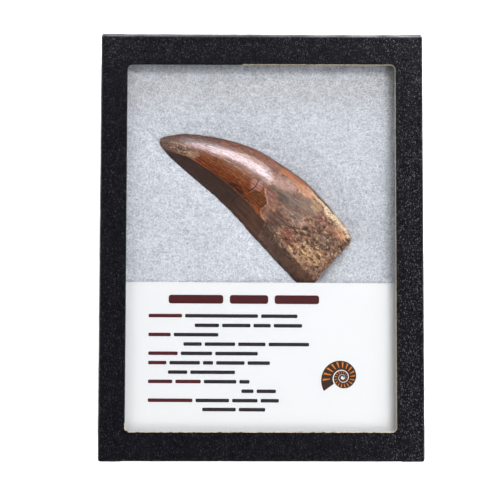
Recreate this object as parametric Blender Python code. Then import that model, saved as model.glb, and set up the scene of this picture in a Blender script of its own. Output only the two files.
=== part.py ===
"""A fossil tooth in a lidded specimen case: papered tray and lid, glass, batting, card and pins.

The case lies on its back. +Z points out of the window, +Y to the case's upper end.
The origin is on the table, under the middle of the case.
"""
import math

import bmesh
import bpy
from mathutils import Vector, noise

MM = 0.001

# The case, outside
LID_WIDTH = 158.75 * MM
LID_LENGTH = 209.3 * MM
CASE_DEPTH = 25.4 * MM
LID_WALL = 1.4 * MM
LID_BOARD = 1.6 * MM
LID_SKIRT_Z = 1.0 * MM
LID_CORNER = 1.5 * MM
LID_EDGE = 0.7 * MM

# The window, with its borders as seen from above
BORDER_LEFT = 12.9 * MM
BORDER_RIGHT = 13.6 * MM
BORDER_TOP = 15.0 * MM
BORDER_BOTTOM = 14.1 * MM
WINDOW_CORNER = 2.4 * MM

# The tray inside the lid
SLIDE = 0.4 * MM
TRAY_WALL = 1.4 * MM
TRAY_BASE = 1.5 * MM
TOUCH = 0.3 * MM

# What lies between tray and lid
GLASS_THICKNESS = 2.0 * MM
CARD_THICKNESS = 0.3 * MM
CARD_WIDTH = 150.0 * MM
CARD_LENGTH = 81.0 * MM
CARD_TOP_Y = -18.1 * MM
CARD_TILT = math.radians(-0.2)
BATTING_EDGE = 4.0 * MM
BATTING_COLUMNS = 28
BATTING_ROWS = 38

# The pins through the walls
PIN_RADIUS = 0.45 * MM
PIN_HEAD_RADIUS = 1.5 * MM
PIN_HEAD_HEIGHT = 0.8 * MM
PIN_SEAT = 0.1 * MM
PIN_SHOWS = 0.2 * MM
PIN_HOLE = 0.8 * MM
PIN_SIDES = 12
PIN_Z = 9.0 * MM

# Heights that follow from the sizes above
GLASS_TOP = CASE_DEPTH - LID_BOARD - TOUCH
GLASS_BOTTOM = GLASS_TOP - GLASS_THICKNESS
TRAY_TOP = GLASS_BOTTOM - TOUCH
CARD_TOP = GLASS_BOTTOM - TOUCH
BATTING_TOP = CARD_TOP - CARD_THICKNESS - TOUCH
BATTING_BOTTOM = TRAY_BASE + TOUCH

# The tooth's own frame: its tip is at the origin, its chord runs along +X to the broken base
TIP_PLACE = (-51.2 * MM, 53.3 * MM)
CHORD_TURN = math.radians(-35.0)

# Stations from tip to base, in mm: the convex edge's x and y, the concave edge's x and y,
# the height of the two edges above the table, and the height of the crest above the edges
STATIONS = (
    (-0.2, 1.2, 0.4, -0.7, 17.4, 1.1),
    (0.5, 3.0, 2.4, -2.1, 17.3, 1.9),
    (5.4, 8.1, 8.3, -3.7, 16.9, 3.1),
    (10.3, 11.9, 13.0, -4.5, 16.6, 3.8),
    (24.4, 19.2, 25.5, -5.9, 16.1, 4.9),
    (40.0, 24.3, 39.0, -7.1, 15.6, 5.4),
    (55.2, 25.9, 52.6, -9.4, 15.2, 5.8),
    (71.0, 25.9, 66.7, -12.7, 15.0, 6.0),
    (87.0, 22.9, 82.0, -16.1, 14.9, 6.1),
    (95.0, 20.6, 90.0, -17.5, 14.9, 6.0),
    (102.2, 18.6, 97.2, -18.9, 14.9, 5.9),
    (108.4, 15.2, 103.0, -19.2, 14.9, 5.5),
)
SLICES = 66
FACET_ROWS = 5
DOME_ROWS = 10
BELLY_ROWS = 12

# Where the flat facet beside the concave edge meets the dome, as a share of the half width
RIDGE_TIP = -0.56
RIDGE_MIDDLE = -0.42
RIDGE_HEIGHT = 0.88
CREST = -0.12
FACET_LIP = 0.1
FLANK_FALL = 0.695
FLANK_POWER = 10
BELLY_TIP = 0.97
BELLY_ROOT = 1.5

# The crown's enamel ends in a low step about this far along, and the root is bare and pitted
ENAMEL_END = 0.57
ENAMEL_STEP = 0.3 * MM
ROOT_LUMP = 0.35 * MM

# Pits and chips: place along and across the tooth in mm, radius and depth in mm
PITS = (
    (16.1, 15.6, 1.9, 1.1),
    (78.5, 5.5, 2.4, 0.8),
    (88.0, 12.0, 2.6, 0.8),
    (92.5, 1.5, 2.8, 0.9),
    (98.0, -9.5, 2.6, 0.8),
    (83.0, -6.0, 2.2, 0.6),
    (101.5, 9.5, 2.6, 0.9),
    (106.0, 17.5, 2.2, 1.0),
)
BASE_HOLLOW = 4.0 * MM
BASE_ROUGH = 1.2 * MM
BASE_GRAIN = 3.5 * MM
BASE_RINGS = 4
BASE_TURN = math.radians(-9)


def clear_scene():
    for item in list(bpy.data.objects):
        bpy.data.objects.remove(item, do_unlink=True)


def make_material(name, colour, roughness, metallic=0.0, transmission=0.0):
    material = bpy.data.materials.new(name)
    material.use_nodes = True
    shader = material.node_tree.nodes["Principled BSDF"]
    shader.inputs["Base Color"].default_value = (*colour, 1.0)
    shader.inputs["Roughness"].default_value = roughness
    shader.inputs["Metallic"].default_value = metallic
    shader.inputs["Transmission Weight"].default_value = transmission
    return material


def add_object(name, mesh, material=None, smooth_angle=None):
    item = bpy.data.objects.new(name, mesh)
    bpy.context.collection.objects.link(item)
    if material:
        mesh.materials.append(material)
    if smooth_angle:
        mesh.shade_smooth()
        mesh.set_sharp_from_angle(angle=math.radians(smooth_angle))
    return item


def mesh_from_rings(name, rings):
    """Skins a stack of closed rings of points, all of the same length, and caps its ends."""
    bm = bmesh.new()
    loops = [[bm.verts.new(point) for point in ring] for ring in rings]
    count = len(loops[0])
    for low, high in zip(loops, loops[1:]):
        for i in range(count):
            j = (i + 1) % count
            bm.faces.new((low[i], low[j], high[j], high[i]))
    bm.faces.new(loops[0][::-1])
    bm.faces.new(loops[-1])
    bmesh.ops.recalc_face_normals(bm, faces=bm.faces)
    mesh = bpy.data.meshes.new(name)
    bm.to_mesh(mesh)
    bm.free()
    return mesh


def rounded_rectangle(width, length, radius, z, centre=(0.0, 0.0), steps=5):
    """A level rectangle with round corners, anticlockwise from the lower right corner."""
    points = []
    for corner, (sx, sy) in enumerate(((1, -1), (1, 1), (-1, 1), (-1, -1))):
        start = math.radians(90 * corner - 90)
        for k in range(steps + 1):
            turn = start + math.radians(90) * k / steps
            x = sx * (width / 2 - radius) + radius * math.cos(turn)
            y = sy * (length / 2 - radius) + radius * math.sin(turn)
            points.append((centre[0] + x, centre[1] + y, z))
    return points


def slab(name, width, length, radius, bottom, top, edge=0.0, centre=(0.0, 0.0)):
    """An upright block with round corners and, where an edge radius is given, a round top edge."""
    rings = [rounded_rectangle(width, length, radius, bottom, centre)]
    steps = 3 if edge else 0
    for k in range(steps + 1):
        turn = math.radians(90) * k / steps if steps else 0.0
        inset = edge * (1 - math.cos(turn))
        z = top - edge + edge * math.sin(turn)
        rings.append(rounded_rectangle(width - 2 * inset, length - 2 * inset, radius - inset, z, centre))
    return mesh_from_rings(name, rings)


def cut(item, name, mesh):
    """Takes a shape out of an object, with the cutter kept as a hidden guide."""
    cutter = add_object(name, mesh)
    cutter.hide_render = True
    cutter.display_type = "WIRE"
    modifier = item.modifiers.new(name, "BOOLEAN")
    modifier.operation = "DIFFERENCE"
    modifier.solver = "EXACT"
    modifier.object = cutter


def window_box():
    """The window's width, length and centre."""
    width = LID_WIDTH - BORDER_LEFT - BORDER_RIGHT
    length = LID_LENGTH - BORDER_TOP - BORDER_BOTTOM
    centre = ((BORDER_LEFT - BORDER_RIGHT) / 2, (BORDER_BOTTOM - BORDER_TOP) / 2)
    return width, length, centre


def tray_outside():
    width = LID_WIDTH - 2 * LID_WALL - 2 * SLIDE
    length = LID_LENGTH - 2 * LID_WALL - 2 * SLIDE
    return width, length


def pin_sites():
    """Each pin's name, the direction it points out of the case, and the wall it goes through."""
    return (
        ("pin_left", Vector((-1, 0, 0)), LID_WIDTH / 2),
        ("pin_right", Vector((1, 0, 0)), LID_WIDTH / 2),
        ("pin_bottom", Vector((0, -1, 0)), LID_LENGTH / 2),
        ("pin_top", Vector((0, 1, 0)), LID_LENGTH / 2),
    )


def turned(name, outward, profile):
    """A round bar along a level direction at pin height, from (place, radius) stations."""
    side = Vector((-outward.y, outward.x, 0))
    up = Vector((0, 0, 1))
    rings = []
    for place, radius in profile:
        middle = outward * place + up * PIN_Z
        turns = [2 * math.pi * i / PIN_SIDES for i in range(PIN_SIDES)]
        rings.append([middle + (side * math.cos(a) + up * math.sin(a)) * radius for a in turns])
    return mesh_from_rings(name, rings)


def cut_pin_holes(item, prefix):
    """One through bar from side to side cuts both holes of a pair."""
    for name, outward, reach in pin_sites():
        if name in ("pin_right", "pin_top"):
            over = reach + 2 * MM
            cut(item, prefix + name, turned(prefix + name, outward, ((-over, PIN_HOLE), (over, PIN_HOLE))))


def make_lid():
    mesh = slab("lid", LID_WIDTH, LID_LENGTH, LID_CORNER, LID_SKIRT_Z, CASE_DEPTH, LID_EDGE)
    lid = add_object("lid", mesh, make_material("black_paper", (0.012, 0.012, 0.015), 0.45), 30)
    inner_width = LID_WIDTH - 2 * LID_WALL
    inner_length = LID_LENGTH - 2 * LID_WALL
    ceiling = CASE_DEPTH - LID_BOARD
    cut(lid, "lid_inside", slab("lid_inside", inner_width, inner_length, 0.4 * MM, -5 * MM, ceiling))
    width, length, centre = window_box()
    window = slab("lid_window", width, length, WINDOW_CORNER, 5 * MM, 40 * MM, centre=centre)
    cut(lid, "lid_window", window)
    cut_pin_holes(lid, "lid_hole_")


def make_tray():
    width, length = tray_outside()
    mesh = slab("tray", width, length, 0.8 * MM, 0.0, TRAY_TOP)
    tray = add_object("tray", mesh, make_material("tray_paper", (0.014, 0.014, 0.016), 0.55), 30)
    inside = slab("tray_inside", width - 2 * TRAY_WALL, length - 2 * TRAY_WALL, 0.4 * MM,
                  TRAY_BASE, TRAY_TOP + 5 * MM)
    cut(tray, "tray_inside", inside)
    cut_pin_holes(tray, "tray_hole_")


def make_glass():
    width = LID_WIDTH - 2 * LID_WALL - 2 * SLIDE
    length = LID_LENGTH - 2 * LID_WALL - 2 * SLIDE
    mesh = slab("glass", width, length, 0.6 * MM, GLASS_BOTTOM, GLASS_TOP)
    add_object("glass", mesh, make_material("clear_glass", (0.9, 0.95, 0.93), 0.03, transmission=1.0))


def make_card():
    mesh = slab("card", CARD_WIDTH, CARD_LENGTH, 0.5 * MM, 0.0, CARD_THICKNESS)
    card = add_object("card", mesh, make_material("white_card", (0.87, 0.87, 0.88), 0.5))
    card.location = (0.0, CARD_TOP_Y - CARD_LENGTH / 2, CARD_TOP - CARD_THICKNESS)
    card.rotation_euler = (0.0, 0.0, CARD_TILT)


def make_pins():
    """A pointed shank through both walls and a domed head on the lid's side."""
    material = make_material("pin_steel", (0.55, 0.55, 0.56), 0.3, 1.0)
    for name, outward, reach in pin_sites():
        point = reach - LID_WALL - SLIDE - TRAY_WALL - PIN_SHOWS
        head = reach + PIN_SEAT
        profile = (
            (point, PIN_RADIUS * 0.3),
            (point + 2 * PIN_RADIUS, PIN_RADIUS),
            (head, PIN_RADIUS),
            (head, PIN_HEAD_RADIUS),
            (head + PIN_HEAD_HEIGHT * 0.4, PIN_HEAD_RADIUS),
            (head + PIN_HEAD_HEIGHT * 0.8, PIN_HEAD_RADIUS * 0.72),
            (head + PIN_HEAD_HEIGHT, PIN_HEAD_RADIUS * 0.3),
        )
        add_object(name, turned(name, outward, profile), material, 40)


def spline(share):
    """A smooth curve through the stations, read at a share from 0 at the tip to 1 at the base."""
    last = len(STATIONS) - 1
    place = min(max(share, 0.0), 1.0) * last
    k = min(int(place), last - 1)
    f = place - k
    before = STATIONS[max(k - 1, 0)]
    here = STATIONS[k]
    after = STATIONS[k + 1]
    beyond = STATIONS[min(k + 2, last)]
    values = []
    for a, b, c, d in zip(before, here, after, beyond):
        slope_in = (c - a) / 2
        slope_out = (d - b) / 2
        values.append(b + f * (slope_in + f * (3 * (c - b) - 2 * slope_in - slope_out
                                               + f * (2 * (b - c) + slope_in + slope_out))))
    return [value * MM for value in values]


def smooth_step(low, high, value):
    f = min(max((value - low) / (high - low), 0.0), 1.0)
    return f * f * (3 - 2 * f)


def ridge_line(share):
    """The facet's inner border: near the edge at the tip, then level, then back to the edge."""
    tip = 1 - smooth_step(0.1, 0.35, share)
    base = smooth_step(0.5, 0.85, share)
    return RIDGE_MIDDLE + (RIDGE_TIP - RIDGE_MIDDLE) * tip - 0.3 * base


def dome(v, power=2.4):
    """A plain oval half section, 1 high in the middle and 0 at both edges."""
    return max(1 - abs(v) ** power, 0.0) ** 0.55


def top_height(v, share):
    """The upper face: a flat facet from the concave edge to the ridge, then an even curve."""
    ridge = ridge_line(share)
    if v <= ridge:
        f = (v + 1) / (ridge + 1)
        lip = FACET_LIP * min(f * 12, 1.0)
        crown = lip + (RIDGE_HEIGHT - FACET_LIP) * f
    elif v <= CREST:
        crown = 1 - (1 - RIDGE_HEIGHT) * ((CREST - v) / (CREST - ridge)) ** 1.5
    else:
        edge = math.sqrt(max(1 - abs(v) ** FLANK_POWER, 0.0))
        crown = (1 - FLANK_FALL * (v - CREST) ** 2) * edge
    root = smooth_step(0.55, 0.9, share)
    return crown * (1 - root) + dome(v) * root


def belly_depth(v, share):
    depth = BELLY_TIP + (BELLY_ROOT - BELLY_TIP) * smooth_step(0.0, 0.35, share)
    return depth * dome(v, 2.2)


def section(share):
    """One ring of the tooth: across the upper face, then back across the belly."""
    convex_x, convex_y, concave_x, concave_y, edge_z, height = spline(share)
    convex = Vector((convex_x, convex_y, edge_z))
    concave = Vector((concave_x, concave_y, edge_z))
    middle = (convex + concave) / 2
    half = (convex - concave) / 2
    ridge = ridge_line(share)
    across = [-1 + (ridge + 1) * k / FACET_ROWS for k in range(FACET_ROWS)]
    for k in range(DOME_ROWS + 1):
        turn = math.radians(90) * k / DOME_ROWS
        across.append(ridge + (1 - ridge) * math.sin(turn) ** 1.15)
    ring = [middle + half * v + Vector((0, 0, height * top_height(v, share))) for v in across]
    for k in range(1, BELLY_ROWS):
        v = math.cos(math.pi * k / BELLY_ROWS)
        ring.append(middle + half * v - Vector((0, 0, height * belly_depth(v, share))))
    return ring


def weather(point, inward, share):
    """Lowers the bare root by the enamel's step, lumps it and sinks the pits."""
    border = ENAMEL_END + 0.02 * math.sin(point.y / MM * 0.5)
    bare = smooth_step(border, border + 0.02, share)
    lump = noise.noise(point / (5 * MM)) * ROOT_LUMP
    sink = bare * (ENAMEL_STEP + lump)
    for x, y, radius, depth in PITS:
        away = math.hypot(point.x - x * MM, point.y - y * MM) / (radius * MM)
        if away < 1:
            sink += depth * MM * (1 - away * away) ** 2
    return point + inward * sink


def weathered_section(share):
    ring = section(share)
    centre = sum(ring, Vector()) / len(ring)
    return [weather(point, (centre - point).normalized(), share) for point in ring]


def tooth_rings():
    rings = []
    for k in range(SLICES + 1):
        share = k / SLICES
        rings.append(weathered_section(share ** 1.08))
    return rings


def broken(point, share):
    """Moves a point of the base along the tooth: rough all over, and sunk towards the middle."""
    along = Vector((math.cos(BASE_TURN), math.sin(BASE_TURN), 0))
    rough = noise.noise(point / BASE_GRAIN) * BASE_ROUGH * (0.35 + 0.65 * smooth_step(0.0, 0.3, share))
    return point + along * (rough - BASE_HOLLOW * smooth_step(0.15, 1.0, share))


def broken_base(last):
    """The rim of the base and the rings that close it, down to the hollow of the old pulp."""
    centre = sum(last, Vector()) / len(last)
    rings = []
    for k in range(BASE_RINGS + 1):
        share = k / (BASE_RINGS + 1)
        rings.append([broken(point.lerp(centre, share), share) for point in last])
    return rings


def place_tooth(item):
    item.location = (*TIP_PLACE, 0.0)
    item.rotation_euler = (0.0, 0.0, CHORD_TURN)


def make_tooth():
    rings = tooth_rings()
    rings += broken_base(rings.pop())
    mesh = mesh_from_rings("tooth", rings)
    tooth = add_object("tooth", mesh, make_material("fossil", (0.20, 0.075, 0.035), 0.28), 35)
    place_tooth(tooth)


def tooth_distance(x, y):
    """How far a place on the batting is from the tooth's outline, 0 beneath the tooth."""
    turn_cos = math.cos(-CHORD_TURN)
    turn_sin = math.sin(-CHORD_TURN)
    dx = x - TIP_PLACE[0]
    dy = y - TIP_PLACE[1]
    spot = Vector((dx * turn_cos - dy * turn_sin, dx * turn_sin + dy * turn_cos))
    nearest = 1.0
    for k in range(41):
        convex_x, convex_y, concave_x, concave_y, _, _ = spline(k / 40)
        start = Vector((concave_x, concave_y))
        run = Vector((convex_x, convex_y)) - start
        f = min(max((spot - start).dot(run) / run.length_squared, 0.0), 1.0)
        nearest = min(nearest, (spot - start - run * f).length)
    return max(nearest - 1.3 * MM, 0.0)


def batting_height(x, y, half_width, half_length):
    """The pad's soft top: round at its sides, a little uneven, pressed down beside the tooth."""
    side = min(half_width - abs(x), half_length - abs(y))
    shoulder = BATTING_EDGE * (1 - smooth_step(0.0, BATTING_EDGE, side))
    swell = 0.6 * MM * (0.5 + 0.5 * noise.noise(Vector((x, y, 0)) / (14 * MM)))
    valley = 2.6 * MM * math.exp(-(tooth_distance(x, y) / (5 * MM)) ** 2)
    return BATTING_TOP - shoulder * 0.6 - swell - valley


def make_batting():
    width, length = tray_outside()
    half_width = width / 2 - TRAY_WALL - 2 * TOUCH
    half_length = length / 2 - TRAY_WALL - 2 * TOUCH
    bm = bmesh.new()
    top = []
    for j in range(BATTING_ROWS + 1):
        y = -half_length + 2 * half_length * j / BATTING_ROWS
        row = []
        for i in range(BATTING_COLUMNS + 1):
            x = -half_width + 2 * half_width * i / BATTING_COLUMNS
            row.append(bm.verts.new((x, y, batting_height(x, y, half_width, half_length))))
        top.append(row)
    for low, high in zip(top, top[1:]):
        for i in range(BATTING_COLUMNS):
            bm.faces.new((low[i], low[i + 1], high[i + 1], high[i]))
    rim = top[0][:-1] + [row[-1] for row in top[:-1]] + top[-1][:0:-1] + [row[0] for row in top[:0:-1]]
    foot = [bm.verts.new((v.co.x, v.co.y, BATTING_BOTTOM)) for v in rim]
    for i in range(len(rim)):
        j = (i + 1) % len(rim)
        bm.faces.new((foot[i], foot[j], rim[j], rim[i]))
    bm.faces.new(foot[::-1])
    mesh = bpy.data.meshes.new("batting")
    bm.to_mesh(mesh)
    bm.free()
    batting = add_object("batting", mesh, make_material("white_fibre", (0.72, 0.75, 0.80), 0.95), 60)
    cut_hollow(batting)


def cut_hollow(batting):
    """The tooth's hollow: its belly with a thin gap, and straight sides above its edges."""
    rings = []
    for k in range(35):
        share = k / 34
        convex_x, convex_y, concave_x, concave_y, edge_z, height = spline(share)
        convex = Vector((convex_x, convex_y, edge_z))
        concave = Vector((concave_x, concave_y, edge_z))
        middle = (convex + concave) / 2
        half = (convex - concave) / 2
        along = Vector((half.y, -half.x, 0)).normalized()
        reach = -1.2 * MM if k == 0 else 0.6 * MM if k == 34 else 0.0
        half = half * (1 + 0.5 * MM / half.length)
        middle = middle + along * reach
        ring = [middle - half + Vector((0, 0, 30 * MM)), middle + half + Vector((0, 0, 30 * MM))]
        for step in range(11):
            v = math.cos(math.pi * step / 10)
            drop = (height + 0.2 * MM) * belly_depth(v, share) + TOUCH
            ring.append(middle + half * v - Vector((0, 0, drop)))
        rings.append(ring)
    mesh = mesh_from_rings("tooth_hollow", rings)
    cut(batting, "tooth_hollow", mesh)
    place_tooth(bpy.data.objects["tooth_hollow"])


clear_scene()
make_tray()
make_lid()
make_glass()
make_card()
make_pins()
make_tooth()
make_batting()
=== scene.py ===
import math

import bpy
import numpy as np
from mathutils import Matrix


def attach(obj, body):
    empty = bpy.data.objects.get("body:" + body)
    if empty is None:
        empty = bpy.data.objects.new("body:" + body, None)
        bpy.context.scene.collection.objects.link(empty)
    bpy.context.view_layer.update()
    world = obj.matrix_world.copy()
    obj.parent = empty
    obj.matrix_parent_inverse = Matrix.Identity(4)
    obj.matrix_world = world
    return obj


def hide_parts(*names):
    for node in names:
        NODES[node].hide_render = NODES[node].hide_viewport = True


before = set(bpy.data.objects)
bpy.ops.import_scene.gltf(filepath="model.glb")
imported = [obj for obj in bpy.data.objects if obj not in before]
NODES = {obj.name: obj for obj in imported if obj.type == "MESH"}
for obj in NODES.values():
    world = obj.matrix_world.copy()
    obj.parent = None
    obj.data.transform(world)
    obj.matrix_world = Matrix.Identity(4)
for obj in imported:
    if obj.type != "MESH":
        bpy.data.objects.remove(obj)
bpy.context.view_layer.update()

# A fossil tooth on white batting in a black papered case. Sizes are in mm until a mesh is made.

MM = 0.001

# The case, as in the CAD
LID_WIDTH = 158.75
LID_LENGTH = 209.3
LID_TOP = 25.4
LID_WALL = 1.4
LID_CEILING = 23.8
LID_FOOT = 1.0
LID_CORNER = 1.5
WINDOW_WIDTH = LID_WIDTH - 12.9 - 13.6
WINDOW_LENGTH = LID_LENGTH - 15.0 - 14.1
WINDOW_CENTRE = ((12.9 - 13.6) / 2, (14.1 - 15.0) / 2)
WINDOW_CORNER = 2.4
WINDOW_ROUND = 0.3
LID_ROUND = 0.75
GLASS_BOTTOM = 21.5
CARD_TOP = 21.2
CARD_WIDTH = 150.0
CARD_LENGTH = 81.0
CARD_THICKNESS = 0.3
CARD_TOP_Y = -18.1
CARD_TILT = math.radians(-0.2)
BATTING_TOP = 20.6
BATTING_BOTTOM = 1.8
BATTING_HALF = (76.45, 101.7)
FLUFF_FROM = -24
FIBRES = 5200
FIBRE_STEPS = 13

# The tooth, as in the CAD: tip at the origin, chord along +X
TIP_PLACE = (-51.2, 53.3)
CHORD_TURN = math.radians(-35.0)
STATIONS = np.array((
    (-0.2, 1.2, 0.4, -0.7, 17.4, 1.1),
    (0.5, 3.0, 2.4, -2.1, 17.3, 1.9),
    (5.4, 8.1, 8.3, -3.7, 16.9, 3.1),
    (10.3, 11.9, 13.0, -4.5, 16.6, 3.8),
    (24.4, 19.2, 25.5, -5.9, 16.1, 4.9),
    (40.0, 24.3, 39.0, -7.1, 15.6, 5.4),
    (55.2, 25.9, 52.6, -9.4, 15.2, 5.8),
    (71.0, 25.9, 66.7, -12.7, 15.0, 6.0),
    (87.0, 22.9, 82.0, -16.1, 14.9, 6.1),
    (95.0, 20.6, 90.0, -17.5, 14.9, 6.0),
    (102.2, 18.6, 97.2, -18.9, 14.9, 5.9),
    (108.4, 15.2, 103.0, -19.2, 14.9, 5.5),
))
RIDGE_HEIGHT = 0.88
CREST = -0.12
FACET_LIP = 0.1
FLANK_FALL = 0.695
BELLY_TIP = 0.97
BELLY_ROOT = 1.5
BASE_TURN = math.radians(-9)
BASE_ALONG = np.array((math.cos(BASE_TURN), math.sin(BASE_TURN), 0.0))
GRAIN_LENGTH = 120
GRAIN_WIDTH = 16


class Noise:
    """Smooth seeded noise between -1 and 1, read at any place in three dimensions."""

    def __init__(self, seed, size=32):
        self.size = size
        self.grid = np.random.default_rng(seed).uniform(-1.0, 1.0, (size, size, size))

    def __call__(self, x, y, z=0.0):
        place = np.broadcast_arrays(np.asarray(x, float), np.asarray(y, float), np.asarray(z, float))
        base = [np.floor(v).astype(int) for v in place]
        part = [v - b for v, b in zip(place, base)]
        part = [f * f * (3 - 2 * f) for f in part]
        total = np.zeros(place[0].shape)
        for corner in np.ndindex(2, 2, 2):
            value = self.grid[tuple((b + d) % self.size for b, d in zip(base, corner))]
            weight = np.ones(total.shape)
            for f, d in zip(part, corner):
                weight = weight * (f if d else 1 - f)
            total += value * weight
        return total

    def cloud(self, x, y, z=0.0, octaves=4, fade=0.5):
        """Several sizes of the noise added up."""
        total = 0.0
        weight = 1.0
        whole = 0.0
        for k in range(octaves):
            step = 2.03 ** k
            total = total + weight * self(x * step + 7.3 * k, y * step - 3.1 * k, z * step + 1.7 * k)
            whole += weight
            weight *= fade
        return total / whole


def smooth_step(low, high, value):
    f = np.clip((value - low) / (high - low), 0.0, 1.0)
    return f * f * (3 - 2 * f)


def line_distance(x, y, points):
    """Distance to a line through several points."""
    nearest = np.full(np.shape(x), 1e9)
    for (ax, ay), (bx, by) in zip(points, points[1:]):
        dx = bx - ax
        dy = by - ay
        f = np.clip(((x - ax) * dx + (y - ay) * dy) / (dx * dx + dy * dy), 0.0, 1.0)
        nearest = np.minimum(nearest, np.hypot(x - ax - f * dx, y - ay - f * dy))
    return nearest


def area_distance(x, y, points):
    """Distance to the border of an area, positive inside."""
    edge = line_distance(x, y, tuple(points) + (points[0],))
    inside = np.zeros(np.shape(x), bool)
    for (ax, ay), (bx, by) in zip(points, tuple(points[1:]) + (points[0],)):
        crosses = (ay > y) != (by > y)
        inside ^= crosses & (x < (bx - ax) * (y - ay) / (by - ay + 1e-12) + ax)
    return np.where(inside, edge, -edge)


def spot_distance(x, y, centre, radii):
    away = np.hypot((x - centre[0]) / radii[0], (y - centre[1]) / radii[1])
    return (1 - away) * min(radii)


def add_object(name, data):
    item = bpy.data.objects.new(name, data)
    bpy.context.collection.objects.link(item)
    return item


def add_mesh(name, points, faces, smooth=True):
    """A mesh object from points in mm."""
    mesh = bpy.data.meshes.new(name)
    mesh.from_pydata((np.asarray(points) * MM).tolist(), [], faces)
    mesh.validate()
    if smooth:
        mesh.shade_smooth()
    return add_object(name, mesh)


def grid_faces(rows, columns, wrap_columns=False, wrap_rows=False, start=0):
    """The quads of a grid whose points are stored row by row."""
    faces = []
    for i in range(rows if wrap_rows else rows - 1):
        low = start + i * columns
        high = start + ((i + 1) % rows) * columns
        for j in range(columns if wrap_columns else columns - 1):
            k = (j + 1) % columns
            faces.append((low + j, low + k, high + k, high + j))
    return faces


def grid_normals(points):
    """Unit normals of a grid of points, rows by columns by 3, whose rows are closed rings."""
    along = np.gradient(points, axis=0)
    across = (np.roll(points, -1, axis=1) - np.roll(points, 1, axis=1)) / 2
    normal = np.cross(along, across)
    size = np.linalg.norm(normal, axis=2, keepdims=True)
    return normal / np.maximum(size, 1e-9)


def grid_border(rows, columns):
    """The border points of a grid, once round."""
    last = (rows - 1) * columns
    return (list(range(columns)) + [i * columns + columns - 1 for i in range(1, rows)]
            + [last + j for j in range(columns - 2, -1, -1)]
            + [i * columns for i in range(rows - 2, 0, -1)])


def store(item, name, values):
    """Keeps three numbers for each vertex under a name that materials can read."""
    data = item.data.attributes.new(name, "FLOAT_VECTOR", "POINT")
    data.data.foreach_set("vector", np.ascontiguousarray(values, dtype=np.float32).ravel())


def dress(item, material):
    item.data.materials.clear()
    item.data.materials.append(material)


def finish_piece(item, node, material):
    """Gives a piece its material and its body, and hides the CAD node it stands for."""
    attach(item, "root")
    if node:
        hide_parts(node)
    dress(item, material)


def linear(red, green, blue):
    """A screen colour, 0 to 255, as the shader's linear colour."""
    values = []
    for value in (red, green, blue):
        value /= 255
        values.append(value / 12.92 if value <= 0.04045 else ((value + 0.055) / 1.055) ** 2.4)
    return tuple(values)


class Nodes:
    """A shader tree. Each method adds a node and returns the socket to go on with."""

    def __init__(self, tree):
        self.tree = tree

    def put(self, socket, value):
        if isinstance(value, bpy.types.NodeSocket):
            self.tree.links.new(value, socket)
        elif socket.type == "RGBA" and len(value) == 3:
            socket.default_value = (*value, 1.0)
        else:
            socket.default_value = value

    def node(self, kind, inputs, **settings):
        """A node with its settings, and its inputs set or linked."""
        node = self.tree.nodes.new("ShaderNode" + kind)
        for name, value in settings.items():
            setattr(node, name, value)
        for name, value in inputs.items():
            self.put(node.inputs[name], value)
        return node

    def scaled(self, vector, factors, turn=0.0):
        inputs = {"Vector": vector, "Scale": factors, "Rotation": (0.0, 0.0, turn)}
        return self.node("Mapping", inputs).outputs["Vector"]

    def shifted(self, vector, amount):
        return self.node("VectorMath", {0: vector, 1: amount}, operation="ADD").outputs[0]

    def math(self, operation, a, b):
        return self.node("Math", {0: a, 1: b}, operation=operation).outputs[0]

    def plus(self, a, b):
        return self.math("ADD", a, b)

    def minus(self, a, b):
        return self.math("SUBTRACT", a, b)

    def times(self, a, b):
        return self.math("MULTIPLY", a, b)

    def noise(self, vector, scale, detail=4.0, rough=0.55, warp=0.0):
        inputs = {"Vector": vector, "Scale": scale, "Detail": detail, "Roughness": rough,
                  "Distortion": warp}
        return self.node("TexNoise", inputs).outputs["Fac"]

    def cells(self, vector, scale, feature):
        node = self.node("TexVoronoi", {"Vector": vector, "Scale": scale}, feature=feature)
        return node.outputs["Distance"]

    def ramp(self, value, low, high, to_low=0.0, to_high=1.0):
        inputs = {"Value": value, "From Min": low, "From Max": high, "To Min": to_low, "To Max": to_high}
        return self.node("MapRange", inputs, interpolation_type="SMOOTHSTEP").outputs["Result"]

    def mix(self, share, a, b):
        return self.node("Mix", {0: share, 6: a, 7: b}, data_type="RGBA").outputs[2]

    def blend(self, share, a, b):
        return self.node("Mix", {0: share, 2: a, 3: b}).outputs[0]

    def parts(self, vector):
        return self.node("SeparateXYZ", {0: vector}).outputs

    def stored(self, name):
        """The vertex values kept under a name: the vector and its three parts."""
        vector = self.node("Attribute", {}, attribute_name=name).outputs["Vector"]
        return vector, self.parts(vector)

    def bump(self, height, distance, strength, normal=None):
        inputs = {"Height": height, "Distance": distance, "Strength": strength}
        if normal is not None:
            inputs["Normal"] = normal
        return self.node("Bump", inputs).outputs["Normal"]


class Paint(Nodes):
    """A material's shader tree, with its place in mm to start from."""

    def __init__(self, name):
        self.material = bpy.data.materials.new(name)
        self.material.use_nodes = True
        super().__init__(self.material.node_tree)
        self.shader = self.tree.nodes["Principled BSDF"]
        self.place = self.scaled(self.node("TexCoord", {}).outputs["Object"], (1000, 1000, 1000))

    def set(self, **values):
        """Sets or links the shader's sockets, with _ for a blank in their names."""
        for name, value in values.items():
            self.put(self.shader.inputs[name.replace("_", " ")], value)


SIDE_STEPS = (250, 380)
CORNER_STEPS = 10


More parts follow.
